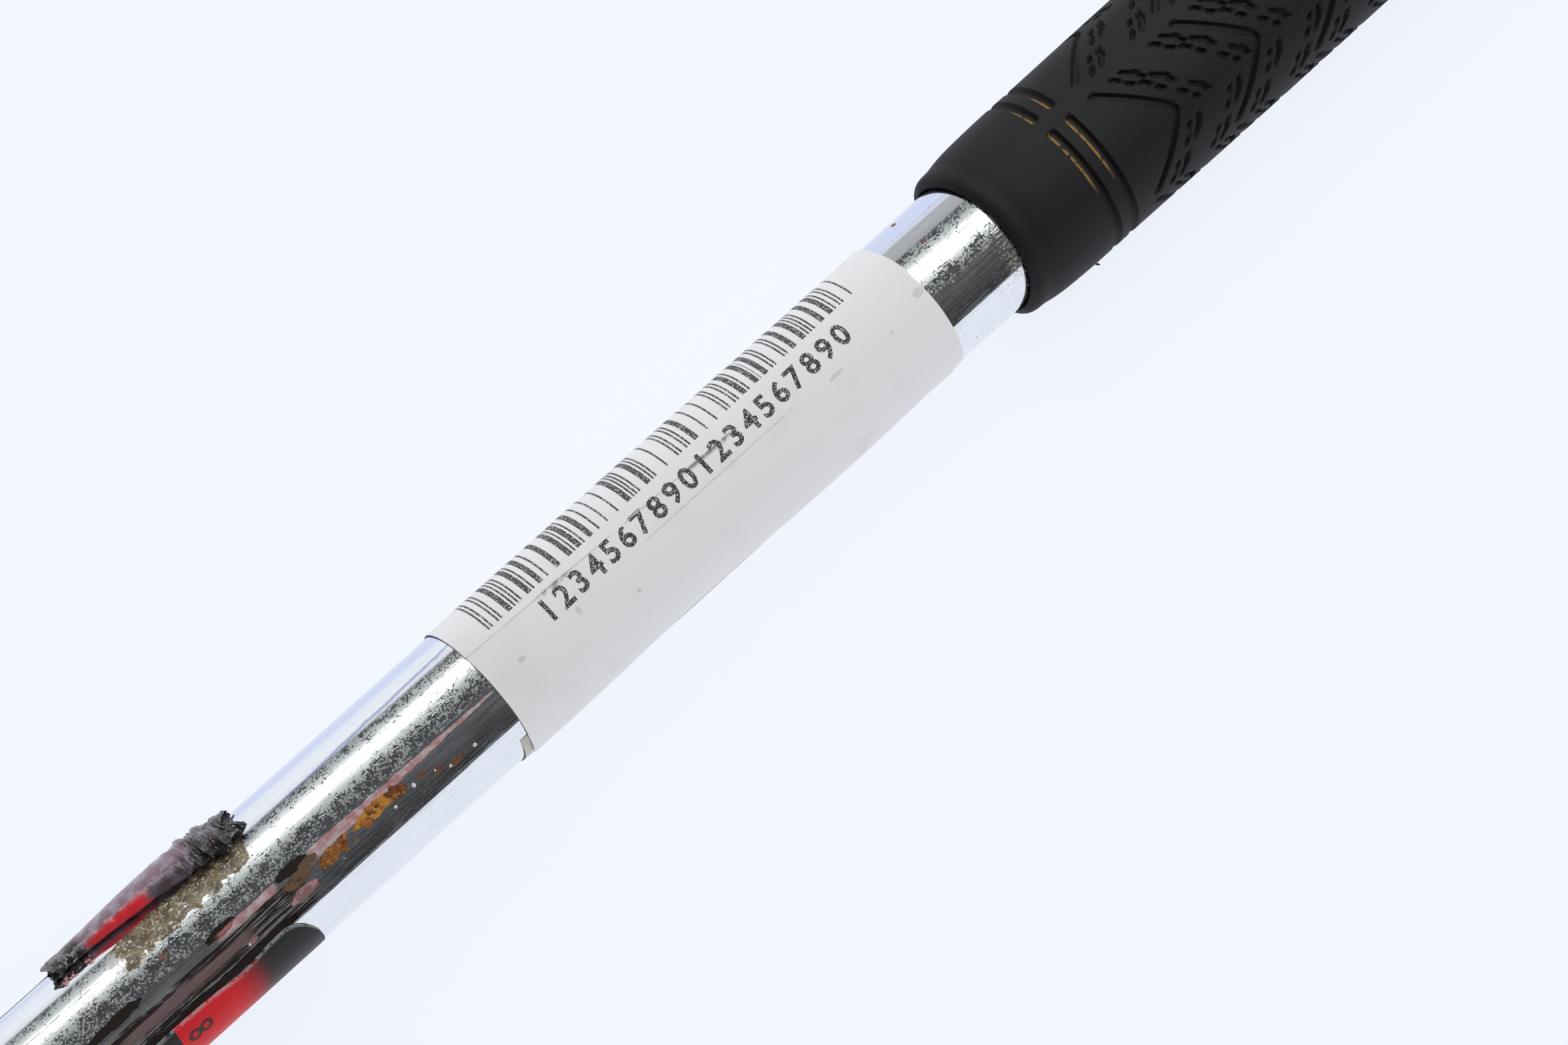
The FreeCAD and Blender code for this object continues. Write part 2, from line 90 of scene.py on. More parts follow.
class Wire:
    """One output of a shader node, on which sums are written as Python expressions."""

    def __init__(self, recipe: "Recipe", socket: bpy.types.NodeSocket) -> None:
        """Keeps the socket and the recipe that its node belongs to."""
        self.recipe = recipe
        self.socket = socket

    def sum_with(self, operation: str, first: Operand, second: Operand = 0.0) -> "Wire":
        """Adds one Math node and returns its result."""
        return self.recipe.node("ShaderNodeMath", {"operation": operation}, {0: first, 1: second})

    def __add__(self, other: Operand) -> "Wire":
        """This value plus another."""
        return self.sum_with("ADD", self, other)

    __radd__ = __add__

    def __sub__(self, other: Operand) -> "Wire":
        """This value less another."""
        return self.sum_with("SUBTRACT", self, other)

    def __rsub__(self, other: Operand) -> "Wire":
        """Another value less this one."""
        return self.sum_with("SUBTRACT", other, self)

    def __mul__(self, other: Operand) -> "Wire":
        """This value times another."""
        return self.sum_with("MULTIPLY", self, other)

    __rmul__ = __mul__

    def __truediv__(self, other: Operand) -> "Wire":
        """This value over another."""
        return self.sum_with("DIVIDE", self, other)

    def __abs__(self) -> "Wire":
        """The size of this value."""
        return self.sum_with("ABSOLUTE", self)

    def floor(self) -> "Wire":
        """The whole number below this value."""
        return self.sum_with("FLOOR", self)

    def least(self, other: Operand) -> "Wire":
        """The smaller of two values."""
        return self.sum_with("MINIMUM", self, other)

    def most(self, other: Operand) -> "Wire":
        """The larger of two values."""
        return self.sum_with("MAXIMUM", self, other)

    def above(self, limit: Operand) -> "Wire":
        """One where this value is over a limit, and zero elsewhere."""
        return self.sum_with("GREATER_THAN", self, limit)

    def boosted(self, gain: float = 2.5, most: float = 1.0) -> "Wire":
        """A share turned up, so that a half-covered edge covers well, but held at a greatest value."""
        return (self * gain).least(most)

    def rise(self, low: float, high: float) -> "Wire":
        """Goes smoothly from 0 at low to 1 at high, either way round.

        Args:
            low: Where the result is still 0.
            high: Where the result has reached 1.

        Returns:
            The eased value.
        """
        inputs = {0: self, 1: low, 2: high, 3: 0.0, 4: 1.0}
        return self.recipe.node("ShaderNodeMapRange", {"interpolation_type": "SMOOTHSTEP"}, inputs)

    def band(self, low: float, high: float, soft: float) -> "Wire":
        """One between two limits, with edges that fade over a soft width."""
        return self.rise(low - soft, low + soft) * self.rise(high + soft, high - soft)


Value = Union[Wire, float, Sequence[float]]


class Recipe:
    """The nodes of one finish, or of the sky."""

    def __init__(self, tree: bpy.types.NodeTree) -> None:
        """Starts with an empty node tree."""
        self.tree = tree
        self.tree.nodes.clear()

    def node(
        self,
        kind: str,
        settings: dict[str, object] | None = None,
        inputs: dict[int | str, Value] | None = None,
        output: int | str = 0,
    ) -> Wire:
        """Adds one node.

        Args:
            kind: The node's type.
            settings: Its own settings, which are set first. "stops" are a ramp's (place, colour) pairs.
            inputs: The values or wires of its sockets, by name or number.
            output: The output that is returned.

        Returns:
            A wire on that output.
        """
        node = self.tree.nodes.new(kind)
        for name, value in (settings or {}).items():
            if name == "stops":
                self._set_stops(node.color_ramp, value)
            else:
                setattr(node, name, value)
        for key, value in (inputs or {}).items():
            socket = node.inputs[key]
            if isinstance(value, Wire):
                self.tree.links.new(value.socket, socket)
            else:
                socket.default_value = value
        return Wire(self, node.outputs[output])

    @staticmethod
    def _set_stops(ramp: bpy.types.ColorRamp, stops: Sequence[tuple[float, Colour]]) -> None:
        """Gives a colour ramp its stops."""
        while len(ramp.elements) > 1:
            ramp.elements.remove(ramp.elements[-1])
        ramp.elements[0].position = stops[0][0]
        ramp.elements[0].color = (*stops[0][1], 1.0)
        for place, colour in stops[1:]:
            ramp.elements.new(place).color = (*colour, 1.0)

    def object_place(self) -> Wire:
        """The place of a point of the piece, in metres."""
        return self.node("ShaderNodeTexCoord", output="Object")

    def split(self, vector: Wire, scale: float = 1.0 / MM) -> tuple[Wire, Wire, Wire]:
        """The three parts of a vector, in millimetres unless another scale is given."""
        parts = self.node("ShaderNodeSeparateXYZ", inputs={0: vector})
        node = parts.socket.node
        return tuple(Wire(self, node.outputs[index]) * scale for index in range(3))

    def join(self, x: Operand, y: Operand, z: Operand = 0.0) -> Wire:
        """One vector of three values."""
        return self.node("ShaderNodeCombineXYZ", inputs={0: x, 1: y, 2: z})

    def turn(self, y: Wire, z: Wire) -> Wire:
        """The angle round the bar from +Z toward +Y, in degrees."""
        return y.sum_with("ARCTAN2", y, z) * (180.0 / math.pi)

    def noise(self, place: Wire, scale: float, detail: float = 2.0, roughness: float = 0.55) -> Wire:
        """A cloudy value between 0 and 1."""
        inputs = {"Vector": place, "Scale": scale, "Detail": detail, "Roughness": roughness}
        return self.node("ShaderNodeTexNoise", {"normalize": True}, inputs)

    def spots(self, place: Wire, scale: float) -> Wire:
        """The distance to the nearest of many scattered points."""
        inputs = {"Vector": place, "Scale": scale, "Randomness": 1.0}
        return self.node("ShaderNodeTexVoronoi", {"feature": "F1"}, inputs)

    def dice(self, place: Wire) -> Wire:
        """One random value for each different place."""
        return self.node("ShaderNodeTexWhiteNoise", {"noise_dimensions": "3D"}, {"Vector": place})

    def dye(self, share: Operand, under: Value, over: Value) -> Wire:
        """One colour laid over another by a share."""
        inputs = {0: share, 6: self._rgba(under), 7: self._rgba(over)}
        return self.node("ShaderNodeMix", {"data_type": "RGBA"}, inputs, output=2)

    @staticmethod
    def _rgba(colour: Value) -> Value:
        """A colour with its fourth number, if it is not a wire."""
        return colour if isinstance(colour, Wire) else (*colour, 1.0)

    def relief(self, height: Wire, depth: float, strength: float) -> Wire:
        """A bumped normal from a height between 0 and 1, of a depth in metres."""
        inputs = {"Height": height, "Distance": depth, "Strength": strength}
        return self.node("ShaderNodeBump", inputs=inputs)


class Finish:
    """What each finish of the bar shares: a named material with one Principled shader."""

    name: str

    def material(self) -> bpy.types.Material:
        """Makes the material once, and returns the same one afterwards."""
        if self.name in MADE:
            return MADE[self.name]
        made = bpy.data.materials.new(self.name)
        made.use_nodes = True
        recipe = Recipe(made.node_tree)
        shader = recipe.node("ShaderNodeBsdfPrincipled", inputs=self.sockets(recipe))
        output = made.node_tree.nodes.new("ShaderNodeOutputMaterial")
        made.node_tree.links.new(shader.socket, output.inputs["Surface"])
        MADE[self.name] = made
        return made

    def sockets(self, recipe: Recipe) -> dict[int | str, Value]:
        """The values and wires of the Principled shader's sockets."""
        raise NotImplementedError


MADE: dict[str, bpy.types.Material] = {}


def specks(recipe: Recipe, place: Wire, scale: float, radius: float, share: Operand) -> Wire:
    """Round specks in a share of the cells of a scattered pattern.

    Args:
        recipe: The finish's nodes.
        place: Where the pattern is read.
        scale: Cells to the metre.
        radius: A speck's radius, as a part of a cell.
        share: The part of the cells that have a speck.

    Returns:
        One on a speck and zero elsewhere.
    """
    cells = recipe.spots(place, scale)
    tint = Wire(recipe, cells.socket.node.outputs["Color"])
    red, green, _ = recipe.split(tint, 1.0)
    chosen = red.sum_with("LESS_THAN", red, share)
    return cells.rise(radius, radius * 0.6) * chosen * (green * 0.5 + 0.5)


Span = tuple[float, float]
Oval = tuple[float, float, float, float]


def marks(x: Wire, angle: Wire, wobble: Wire, *ovals: Oval) -> Wire:
    """Ragged oval marks on the round of the bar.

    Args:
        x: The place along the bar, in millimetres.
        angle: The place round the bar, in degrees.
        wobble: A cloudy value that frays the edges.
        ovals: Each mark's middle along and round the bar, half its length and half its width in degrees.

    Returns:
        One inside the marks and zero outside.
    """
    fray = (wobble - 0.5) * 2.2
    shapes = []
    for middle_x, middle_angle, half_x, half_angle in ovals:
        along = (x - middle_x) / half_x
        across = (angle - middle_angle) / half_angle
        shapes.append((along * along + across * across + fray).rise(1.15, 0.80))
    covered = shapes[0]
    for shape in shapes[1:]:
        covered = covered.most(shape)
    return covered


@dataclass(frozen=True)
class PlatedSteel(Finish):
    """Plated or hardened steel of a forged or turned part."""

    name: str
    colour: Colour
    roughness: float = 0.16
    grain: float = 700.0
    wear: float = 0.12
    pit: Colour = (0.09, 0.075, 0.06)

    def sockets(self, recipe: Recipe) -> dict[int | str, Value]:
        """Metal with fine orange peel, handling marks and small dark pits."""
        place = recipe.object_place()
        cloud = recipe.noise(place, self.grain * 0.12, 3.0)
        grain = recipe.noise(place, self.grain, 3.0)
        pits = specks(recipe, place, self.grain * 0.9, 0.16, 0.10)
        worn = cloud.rise(0.45, 0.7)
        dull = tuple(part * 0.82 for part in self.colour)
        tone = recipe.dye(worn * 0.6, self.colour, dull)
        tone = recipe.dye(pits * 0.7, tone, self.pit)
        height = grain * 0.6 - pits * 0.8
        return {
            "Base Color": tone,
            "Metallic": 1.0,
            "Roughness": self.roughness + worn * self.wear + pits * 0.3,
            "Normal": recipe.relief(height, 0.00002, 0.5),
        }


@dataclass(frozen=True)
class TubeChrome(Finish):
    """Bright chrome on the tube, frosted with fine pits, with rust, old glue and smears of the torn decal,
    and with painted reflections, painted shade and a painted highlight round it.

    Places along the bar are in millimetres, and places round it in degrees.
    """

    name: str = "tube_chrome"
    chrome: Colour = (0.84, 0.86, 0.88)
    painted_lavender_reflection: Colour = (0.66, 0.71, 0.86)
    painted_blue_reflection_line: Colour = (0.24, 0.31, 0.58)
    haze: Colour = (0.30, 0.34, 0.335)
    frost_painted_highlight: Colour = (0.60, 0.65, 0.64)
    amber: Colour = (0.50, 0.23, 0.035)
    scale: Colour = (0.17, 0.055, 0.018)
    glue: Colour = (0.205, 0.160, 0.088)
    cream: Colour = (0.60, 0.58, 0.50)
    pink: Colour = (0.44, 0.165, 0.175)
    mauve: Colour = (0.20, 0.13, 0.13)
    soot: Colour = (0.022, 0.017, 0.015)
    earth: Colour = (0.15, 0.095, 0.055)
    streaked: Colour = (0.60, 0.64, 0.70)
    shaded: Colour = (0.38, 0.36, 0.33)
    pit: Colour = (0.10, 0.05, 0.03)
    blister: Colour = (0.11, 0.05, 0.025)
    lip_brown: Colour = (0.22, 0.12, 0.03)
    old_glue: Colour = (0.32, 0.31, 0.28)
    dark_glue: Colour = (0.085, 0.062, 0.034)
    blob_light: Colour = (0.46, 0.25, 0.25)
    blob_dark: Colour = (0.22, 0.12, 0.12)
    frosted: Span = (-17.5, 25.0)
    glued: tuple[Span, Span] = ((214.0, 239.5), (5.0, 29.0))
    pink_line: float = -22.5
    pink_along: Span = (227.5, 287.0)
    pink_gap: Span = (239.5, 247.0)
    spot_marks: tuple[Oval, ...] = (
        (394.2, 14.0, 0.45, 1.5), (394.4, 54.0, 0.5, 3.6), (219.0, -5.0, 0.9, 1.4),
    )
    glue_marks: tuple[Oval, ...] = ((215.0, 13.0, 3.6, 13.0),)
    blob_marks: tuple[Oval, ...] = ((243.0, -40.0, 2.8, 4.3), (231.5, -41.0, 1.2, 2.4))
    rust_marks: tuple[Oval, ...] = (
        (250.2, -32.5, 2.9, 5.0), (253.5, -37.0, 1.4, 2.2), (260.5, -29.0, 5.0, 5.0),
        (264.4, -30.0, 2.4, 4.6), (269.5, -33.0, 0.9, 1.3), (272.3, -39.0, 1.0, 1.6),
        (275.8, -43.0, 1.4, 1.9),
    )
    earth_marks: tuple[Oval, ...] = ((243.0, -29.0, 3.4, 4.6), (246.5, -24.0, 2.0, 3.0))
    tar_marks: tuple[Oval, ...] = (
        (243.3, -19.5, 3.2, 4.4), (228.5, -19.0, 3.4, 3.8), (206.0, -17.5, 6.0, 4.2),
    )
    mouth: float = 402.0

    def sockets(self, recipe: Recipe) -> dict[int | str, Value]:
        """Chrome under its own flaws, with painted reflections, painted shade and a painted highlight, all
        placed along and round the bar.
        """
        place = recipe.object_place()
        x, y, z = recipe.split(place)
        angle = recipe.turn(y, z)
        cloud = recipe.noise(place, 420.0, 4.0, 0.65)
        broad = recipe.noise(place, 120.0, 3.0)
        wobble = recipe.noise(place, 520.0, 3.0)
        grain = recipe.noise(place, 2400.0, 3.0, 0.7)
        streak = recipe.noise(recipe.join(x * 0.10, angle * 0.55), 1.0, 3.0)
        scratch = recipe.noise(recipe.join(x * 0.10, angle * 2.3, x * 0.01), 1.0, 2.0).rise(0.58, 0.70)

        frost, near = self._frost(x, angle, cloud, broad, grain)
        mouth = x.rise(self.mouth - 15.0, self.mouth + 2.0)
        under = angle.rise(-48.0, -56.0)
        pits = specks(recipe, place, 1500.0, 0.20, mouth * 0.10 + mouth * under * 0.22 + 0.015)
        blisters = specks(recipe, place, 820.0, 0.20, mouth * under * 0.50 + mouth * 0.10 + 0.008)
        lip_dirt = mouth.rise(0.88, 1.0) * grain.rise(0.50, 0.60) * angle.band(-61.0, -30.0, 6.0)
        spots = marks(x, angle, wobble, *self.spot_marks)

        frayed = (broad - 0.5) * 16.0 + (wobble - 0.5) * 16.0
        glued_along, glued_turns = self.glued
        near_glue = (angle + frayed).band(*glued_turns, 1.2) * (x + frayed * 0.6).band(*glued_along, 0.8)
        glue = near_glue * (cloud * 0.7 + grain * 0.3).rise(0.34, 0.42)
        pale = marks(x, angle, wobble, *self.glue_marks)
        flecks = near_glue.most(pale) * grain.rise(0.52, 0.60) * cloud.rise(0.62, 0.44)
        pink_half = ((296.0 - x) * 0.0975).least(4.5) * (x.rise(236.0, 246.0) * 0.3 + 0.7)
        pink = (pink_half - abs(angle - self.pink_line) + (wobble - 0.5) * 3.0).rise(-0.4, 0.4)
        pink = pink * x.band(*self.pink_along, 1.0)
        pink = pink * (1.0 - (x + (wobble - 0.5) * 4.0).band(*self.pink_gap, 0.7))
        blob = marks(x, angle, wobble, *self.blob_marks)
        rust = marks(x, angle, wobble, *self.rust_marks) * (broad * 0.5 + cloud * 0.5).rise(0.40, 0.50)
        earth = marks(x, angle, wobble, *self.earth_marks) * cloud.rise(0.36, 0.50)
        tar = marks(x, angle, wobble, *self.tar_marks)
        grimy = x.rise(247.0, 240.0) * angle.band(-51.0, -26.0, 1.5)
        soot = grimy * (streak + (wobble - 0.5) * 0.25).rise(0.42, 0.54)
        line = x.rise(242.0, 236.0) * (angle + (wobble - 0.5) * 3.0).band(-52.5, -46.5, 0.9)
        mauve = x.band(204.0, 232.0, 2.0) * (angle + (streak - 0.5) * 12.0).band(-39.0, -31.0, 1.5)

        # Painted reflection and shade: a darker lavender tint round the back of the tube, where the pale
        # backdrop is mirrored.
        tone = recipe.dye((angle + (x - 270.0) * 0.09).band(44.0, 95.0, 5.0), self.chrome, self.painted_lavender_reflection)
        tone = recipe.dye(under * streak.rise(0.50, 0.66) * 0.35, tone, self.streaked)
        # Painted reflection: a thin blue line round the back of the tube, from 238 to 289 mm along.
        edge = abs(angle - 23.0 - (x - 245.0) * 0.165 + (cloud - 0.5) * 4.0).rise(2.2, 0.8)
        tone = recipe.dye(edge * x.band(238.0, 289.0, 3.0) * 0.65, tone, self.painted_blue_reflection_line)
        # Painted shade: a streaky darker band on the lower front of the tube.
        shade = angle.band(-52.0, -19.0, 1.5) * streak.rise(0.40, 0.62)
        tone = recipe.dye(shade * 0.60, tone, self.shaded)
        # Painted highlight: the frost is lighter near the bright middle line, where the strip light is
        # reflected.
        tone = recipe.dye(frost * 0.80, tone, recipe.dye(near, self.haze, self.frost_painted_highlight))
        tone = recipe.dye(pits * 0.8, tone, self.pit)
        tone = recipe.dye(blisters * 0.85, tone, self.blister)
        tone = recipe.dye(lip_dirt * 0.85, tone, self.lip_brown)
        tone = recipe.dye(grimy * 0.50, tone, self.earth)
        tone = recipe.dye(soot.boosted(1.8, 0.96), tone, self.soot)
        tone = recipe.dye(mauve.boosted(1.5, 0.95), tone, self.mauve)
        tone = recipe.dye(line.most(tar).boosted(), tone, self.soot)
        tone = recipe.dye(pale * 0.55, tone, self.old_glue)
        glue_tone = recipe.dye(wobble.rise(0.44, 0.60), self.glue, self.dark_glue)
        tone = recipe.dye(glue.boosted(), tone, glue_tone)
        tone = recipe.dye(flecks * 0.85, tone, self.cream)
        tone = recipe.dye(pink * (cloud.rise(0.62, 0.40) * 0.45 + 0.45), tone, self.pink)
        tone = recipe.dye(earth.boosted(), tone, self.earth)
        dark_rust = (x + (wobble - 0.5) * 4.0).rise(262.0, 264.5).most(x.rise(255.5, 253.0) * 0.7)
        tone = recipe.dye(rust.boosted(), tone, recipe.dye(dark_rust, self.amber, self.scale))
        tone = recipe.dye(spots.boosted(), tone, self.scale)
        blob_tone = recipe.dye(cloud.rise(0.42, 0.56), self.blob_light, self.blob_dark)
        tone = recipe.dye(blob.boosted(), tone, blob_tone)

        rough = (glue * 0.95).most(rust * 0.9).most(pink * 0.6).most(lip_dirt).most(blisters)
        rough = rough.most(blob * 0.6).most(flecks).most(earth * 0.5).most(spots).most(pale * 0.4)
        cover = rough.most(pink * 0.8).most(soot * 0.6).most(grimy * 0.3).most(tar).most(line * 0.9)
        cover = cover.most(blob).most(mauve * 0.8).most(earth * 0.9)
        height = glue * 0.6 + rust * 0.8 + blob + flecks * 0.6 + earth * 0.4 - scratch * 0.12 - pits
        return {
            "Base Color": tone,
            "Metallic": (1.0 - cover * 0.96) * (1.0 - frost * 0.70),
            "Roughness": 0.035 + frost * 0.16 + scratch * 0.05 + rough * 0.42,
            "Normal": recipe.relief(height, 0.00004, 0.45),
        }

    def _frost(self, x: Wire, angle: Wire, cloud: Wire, broad: Wire, grain: Wire) -> tuple[Wire, Wire]:
        """Fine pale pitting in a band along the top of the tube, closer set beside its bright middle line.
        The pits are real, but their band, their gap on the line and their closer set near it follow the
        strip light's reflection: a painted highlight.

        Args:
            x: The place along the bar, in millimetres.
            angle: The place round the bar, in degrees.
            cloud: A cloudy value of middling size.
            broad: A cloudy value of large size.
            grain: A cloudy value of small size.

        Returns:
            The frost's share, and how near it is to the bright middle line, where the frost is painted
            lighter as a painted highlight.
        """
        lowered = angle + (x - 245.0) * 0.043 + (broad - 0.5) * 4.0
        envelope = lowered.rise(self.frosted[0] - 1.0, self.frosted[0] + 1.0)
        envelope = envelope * lowered.rise(self.frosted[1] + 2.0, self.frosted[1] - 2.0)
        away = abs(angle - 12.5 + (x - 200.0) * 0.0755)
        near = away.rise(19.0, 4.0)
        calm = away.rise(1.6, 3.6) * 0.9 + 0.10
        speckle = (grain + (cloud - 0.5) * 0.55 + near * 0.16).rise(0.50, 0.60)
        return speckle * (envelope * calm * 0.94 + 0.06), near


@dataclass(frozen=True)
class GripRubber(Finish):
    """Matt black moulded rubber with dust, and dirt in its grooves."""

    name: str = "grip_rubber_black"
    black: Colour = (0.0066, 0.0070, 0.0080)
    dust: Colour = (0.075, 0.078, 0.085)
    dirt: Colour = (0.36, 0.20, 0.05)

    def sockets(self, recipe: Recipe) -> dict[int | str, Value]:
        """Rubber with a fine matt grain, grey dust and the dirt that the piece's own attribute places."""
        place = recipe.object_place()
        cloud = recipe.noise(place, 55.0, 4.0)
        grain = recipe.noise(place, 5200.0, 2.0)
        fine_dust = specks(recipe, place, 1400.0, 0.10, 0.06)
        dust = specks(recipe, place, 520.0, 0.07, 0.16).most(fine_dust * 0.6)
        soiled = recipe.node("ShaderNodeAttribute", {"attribute_name": "dirt"}, output="Fac")
        patchy = soiled * recipe.noise(place, 900.0, 3.0).rise(0.30, 0.52)
        tone = recipe.dye(cloud.rise(0.4, 0.7) * 0.35, self.black, tuple(part * 1.5 for part in self.black))
        tone = recipe.dye(dust * 0.7, tone, self.dust)
        tone = recipe.dye(patchy, tone, self.dirt)
        return {
            "Base Color": tone,
            "Roughness": 0.62 + cloud * 0.12 + patchy * 0.15,
            "Specular IOR Level": 0.34,
            "Normal": recipe.relief(grain, 0.00003, 0.35),
        }


@dataclass(frozen=True)
class MouldedPlastic(Finish):
    """Black moulded plastic of the caps."""

    name: str
    colour: Colour = (0.018, 0.018, 0.020)
    roughness: float = 0.42
    dust: Colour = (0.10, 0.10, 0.11)
    rubbed: Colour = (0.04, 0.04, 0.043)

    def sockets(self, recipe: Recipe) -> dict[int | str, Value]:
        """Plastic with spark texture and rubbed patches."""
        place = recipe.object_place()
        cloud = recipe.noise(place, 90.0, 3.0)
        grain = recipe.noise(place, 2600.0, 2.0)
        dust = specks(recipe, place, 640.0, 0.08, 0.2)
        tone = recipe.dye(dust * 0.6, self.colour, self.dust)
        return {
            "Base Color": recipe.dye(cloud.rise(0.5, 0.7) * 0.3, tone, self.rubbed),
            "Roughness": self.roughness + cloud * 0.2,
            "Normal": recipe.relief(grain, 0.00004, 0.5),
        }


@dataclass(frozen=True)
class TapePaper(Finish):
    """Creped tan tape under the grip."""

    name: str = "tape_paper_tan"
    colour: Colour = (0.52, 0.42, 0.27)

    def sockets(self, recipe: Recipe) -> dict[int | str, Value]:
        """Paper with fine crepe ridges round the bar."""
        place = recipe.object_place()
        x, y, z = recipe.split(place)
        crepe = recipe.noise(recipe.join(x * 2.6, y * 0.5, z * 0.5), 1.0, 3.0)
        tone = recipe.dye(crepe.rise(0.4, 0.7), self.colour, tuple(part * 0.72 for part in self.colour))
        return {"Base Color": tone, "Roughness": 0.85, "Normal": recipe.relief(crepe, 0.00010, 0.8)}


@dataclass(frozen=True)
class LabelPaper(Finish):
    """White stock label with printed bars, a crease and a few smudges."""

    name: str = "label_paper_white"
    paper: Colour = (0.80, 0.80, 0.805)
    fibre: Colour = (0.74, 0.74, 0.75)
    ink: Colour = (0.022, 0.022, 0.023)
    grime_and_crease_shade: Colour = (0.23, 0.23, 0.20)
    smear_marks: tuple[Oval, ...] = (
        (339.0, -15.5, 19.0, 0.7), (294.5, -19.3, 0.8, 2.2), (307.0, -20.5, 0.5, 3.8),
        (366.5, -18.5, 1.6, 1.8), (378.6, -23.0, 0.5, 1.4), (386.8, -14.0, 1.2, 3.4),
    )
    fold_slope: float = 0.0265
    fold_across: float = 1.99
    start: float = 288.0
    bars: Span = (293.4, 380.4)
    foot: tuple[float, float, float] = (13.9, 0.048, 0.00039)
    top: float = 84.0
    pitch: float = 2.28
    thin: float = 0.36
    thick: float = 1.0
    lean: float = 0.021
    millimetres_per_degree: float = 0.2268

    def sockets(self, recipe: Recipe) -> dict[int | str, Value]:
        """Paper fibre, thermal print that broke up as it was rubbed, grey dirt, and painted shade along the
        crease.
        """
        place = recipe.object_place()
        x, y, z = recipe.split(place)
        angle = recipe.turn(y, z)
        across = angle * self.millimetres_per_degree
        fibre = recipe.noise(place, 2400.0, 3.0)
        cloud = recipe.noise(place, 120.0, 3.0)
        wobble = recipe.noise(place, 620.0, 3.0)
        printed = self._bars(recipe, x, angle, across) * recipe.noise(place, 4200.0, 1.0).rise(0.34, 0.42)

        along = x - self.start
        fold = along * self.fold_slope + across - self.fold_across
        crease = abs(fold).rise(0.24, 0.0) * along.rise(62.0, 54.0) * cloud.rise(0.25, 0.45)
        worn = along.band(16.0, 22.0, 1.5).most(along.band(48.5, 58.5, 2.0))
        rubbed = abs(fold + 0.15).rise(0.70, 0.10) * worn * wobble.rise(0.36, 0.56)
        smears = marks(x, angle, wobble, *self.smear_marks)
        dots = specks(recipe, place, 95.0, 0.045, 0.35) + specks(recipe, place, 210.0, 0.05, 0.08)
        stains = cloud.rise(0.60, 0.72) * 0.08 + recipe.noise(place, 45.0, 2.0).rise(0.55, 0.75) * 0.07
        # The crease's share is painted shade along the fold; the other shares are dirt, wear and stains.
        soiled = (crease * 0.40 + rubbed * 0.85 + smears * 0.26 + dots * 0.5 + stains).least(1.0)

        tone = recipe.dye(fibre.rise(0.35, 0.65) * 0.12, self.paper, self.fibre)
        tone = recipe.dye(soiled, tone, self.grime_and_crease_shade)
        tone = recipe.dye(printed * 0.96, tone, self.ink)
        height = fibre * 0.5 + crease
        return {"Base Color": tone, "Roughness": 0.72, "Normal": recipe.relief(height, 0.00006, 0.35)}

    def _bars(self, recipe: Recipe, x: Wire, angle: Wire, across: Wire) -> Wire:
        """Thick and thin bars, drawn by chance, one or two to each pitch."""
        line = x - across * self.lean - self.bars[0]
        group = (line / self.pitch).floor()
        within = line - group * self.pitch
        begin = recipe.dice(recipe.join(group, 5.0)) * 0.75 + 0.08
        width = recipe.dice(recipe.join(group, 3.0)).above(0.48) * (self.thick - self.thin) + self.thin
        first = (within - begin).above(0.0) * (begin + width - within).above(0.0)
        second_begin = begin + width + self.thin
        second = (within - second_begin).above(0.0) * (second_begin + self.thin - within).above(0.0)
        second = second * recipe.dice(recipe.join(group, 7.0)).above(0.42)
        from_end = x - self.bars[0]
        foot = from_end * self.foot[1] + from_end * from_end * self.foot[2] + self.foot[0]
        inside = (angle - foot).above(0.0) * angle.rise(self.top + 0.3, self.top)
        inside = inside * from_end.band(0.0, self.bars[1] - self.bars[0], 0.05)
        return first.most(second) * inside


@dataclass(frozen=True)
class UnderPaper(Finish):
    """The yellowed back layer that an older label left."""

    name: str = "label_paper_old"
    paper: Colour = (0.62, 0.60, 0.54)
    stain: Colour = (0.42, 0.40, 0.35)

    def sockets(self, recipe: Recipe) -> dict[int | str, Value]:
        """Torn, stained fibre."""
        place = recipe.object_place()
        fibre = recipe.noise(place, 1500.0, 4.0)
        stain = recipe.noise(place, 160.0, 3.0).rise(0.45, 0.65)
        tone = recipe.dye(stain * 0.5, self.paper, self.stain)
        return {"Base Color": tone, "Roughness": 0.85, "Normal": recipe.relief(fibre, 0.00010, 0.6)}


@dataclass(frozen=True)
class LabelInk(Finish):
    """Speckled thermal print of the digits."""

    name: str = "label_ink"
    ink: Colour = (0.022, 0.022, 0.023)
    paper: Colour = (0.62, 0.62, 0.62)

    def sockets(self, recipe: Recipe) -> dict[int | str, Value]:
        """Black with paper showing through in grains."""
        place = recipe.object_place()
        grain = recipe.noise(place, 4200.0, 1.0).rise(0.43, 0.36)
        return {"Base Color": recipe.dye(grain, self.ink, self.paper), "Roughness": 0.65 + grain * 0.1}


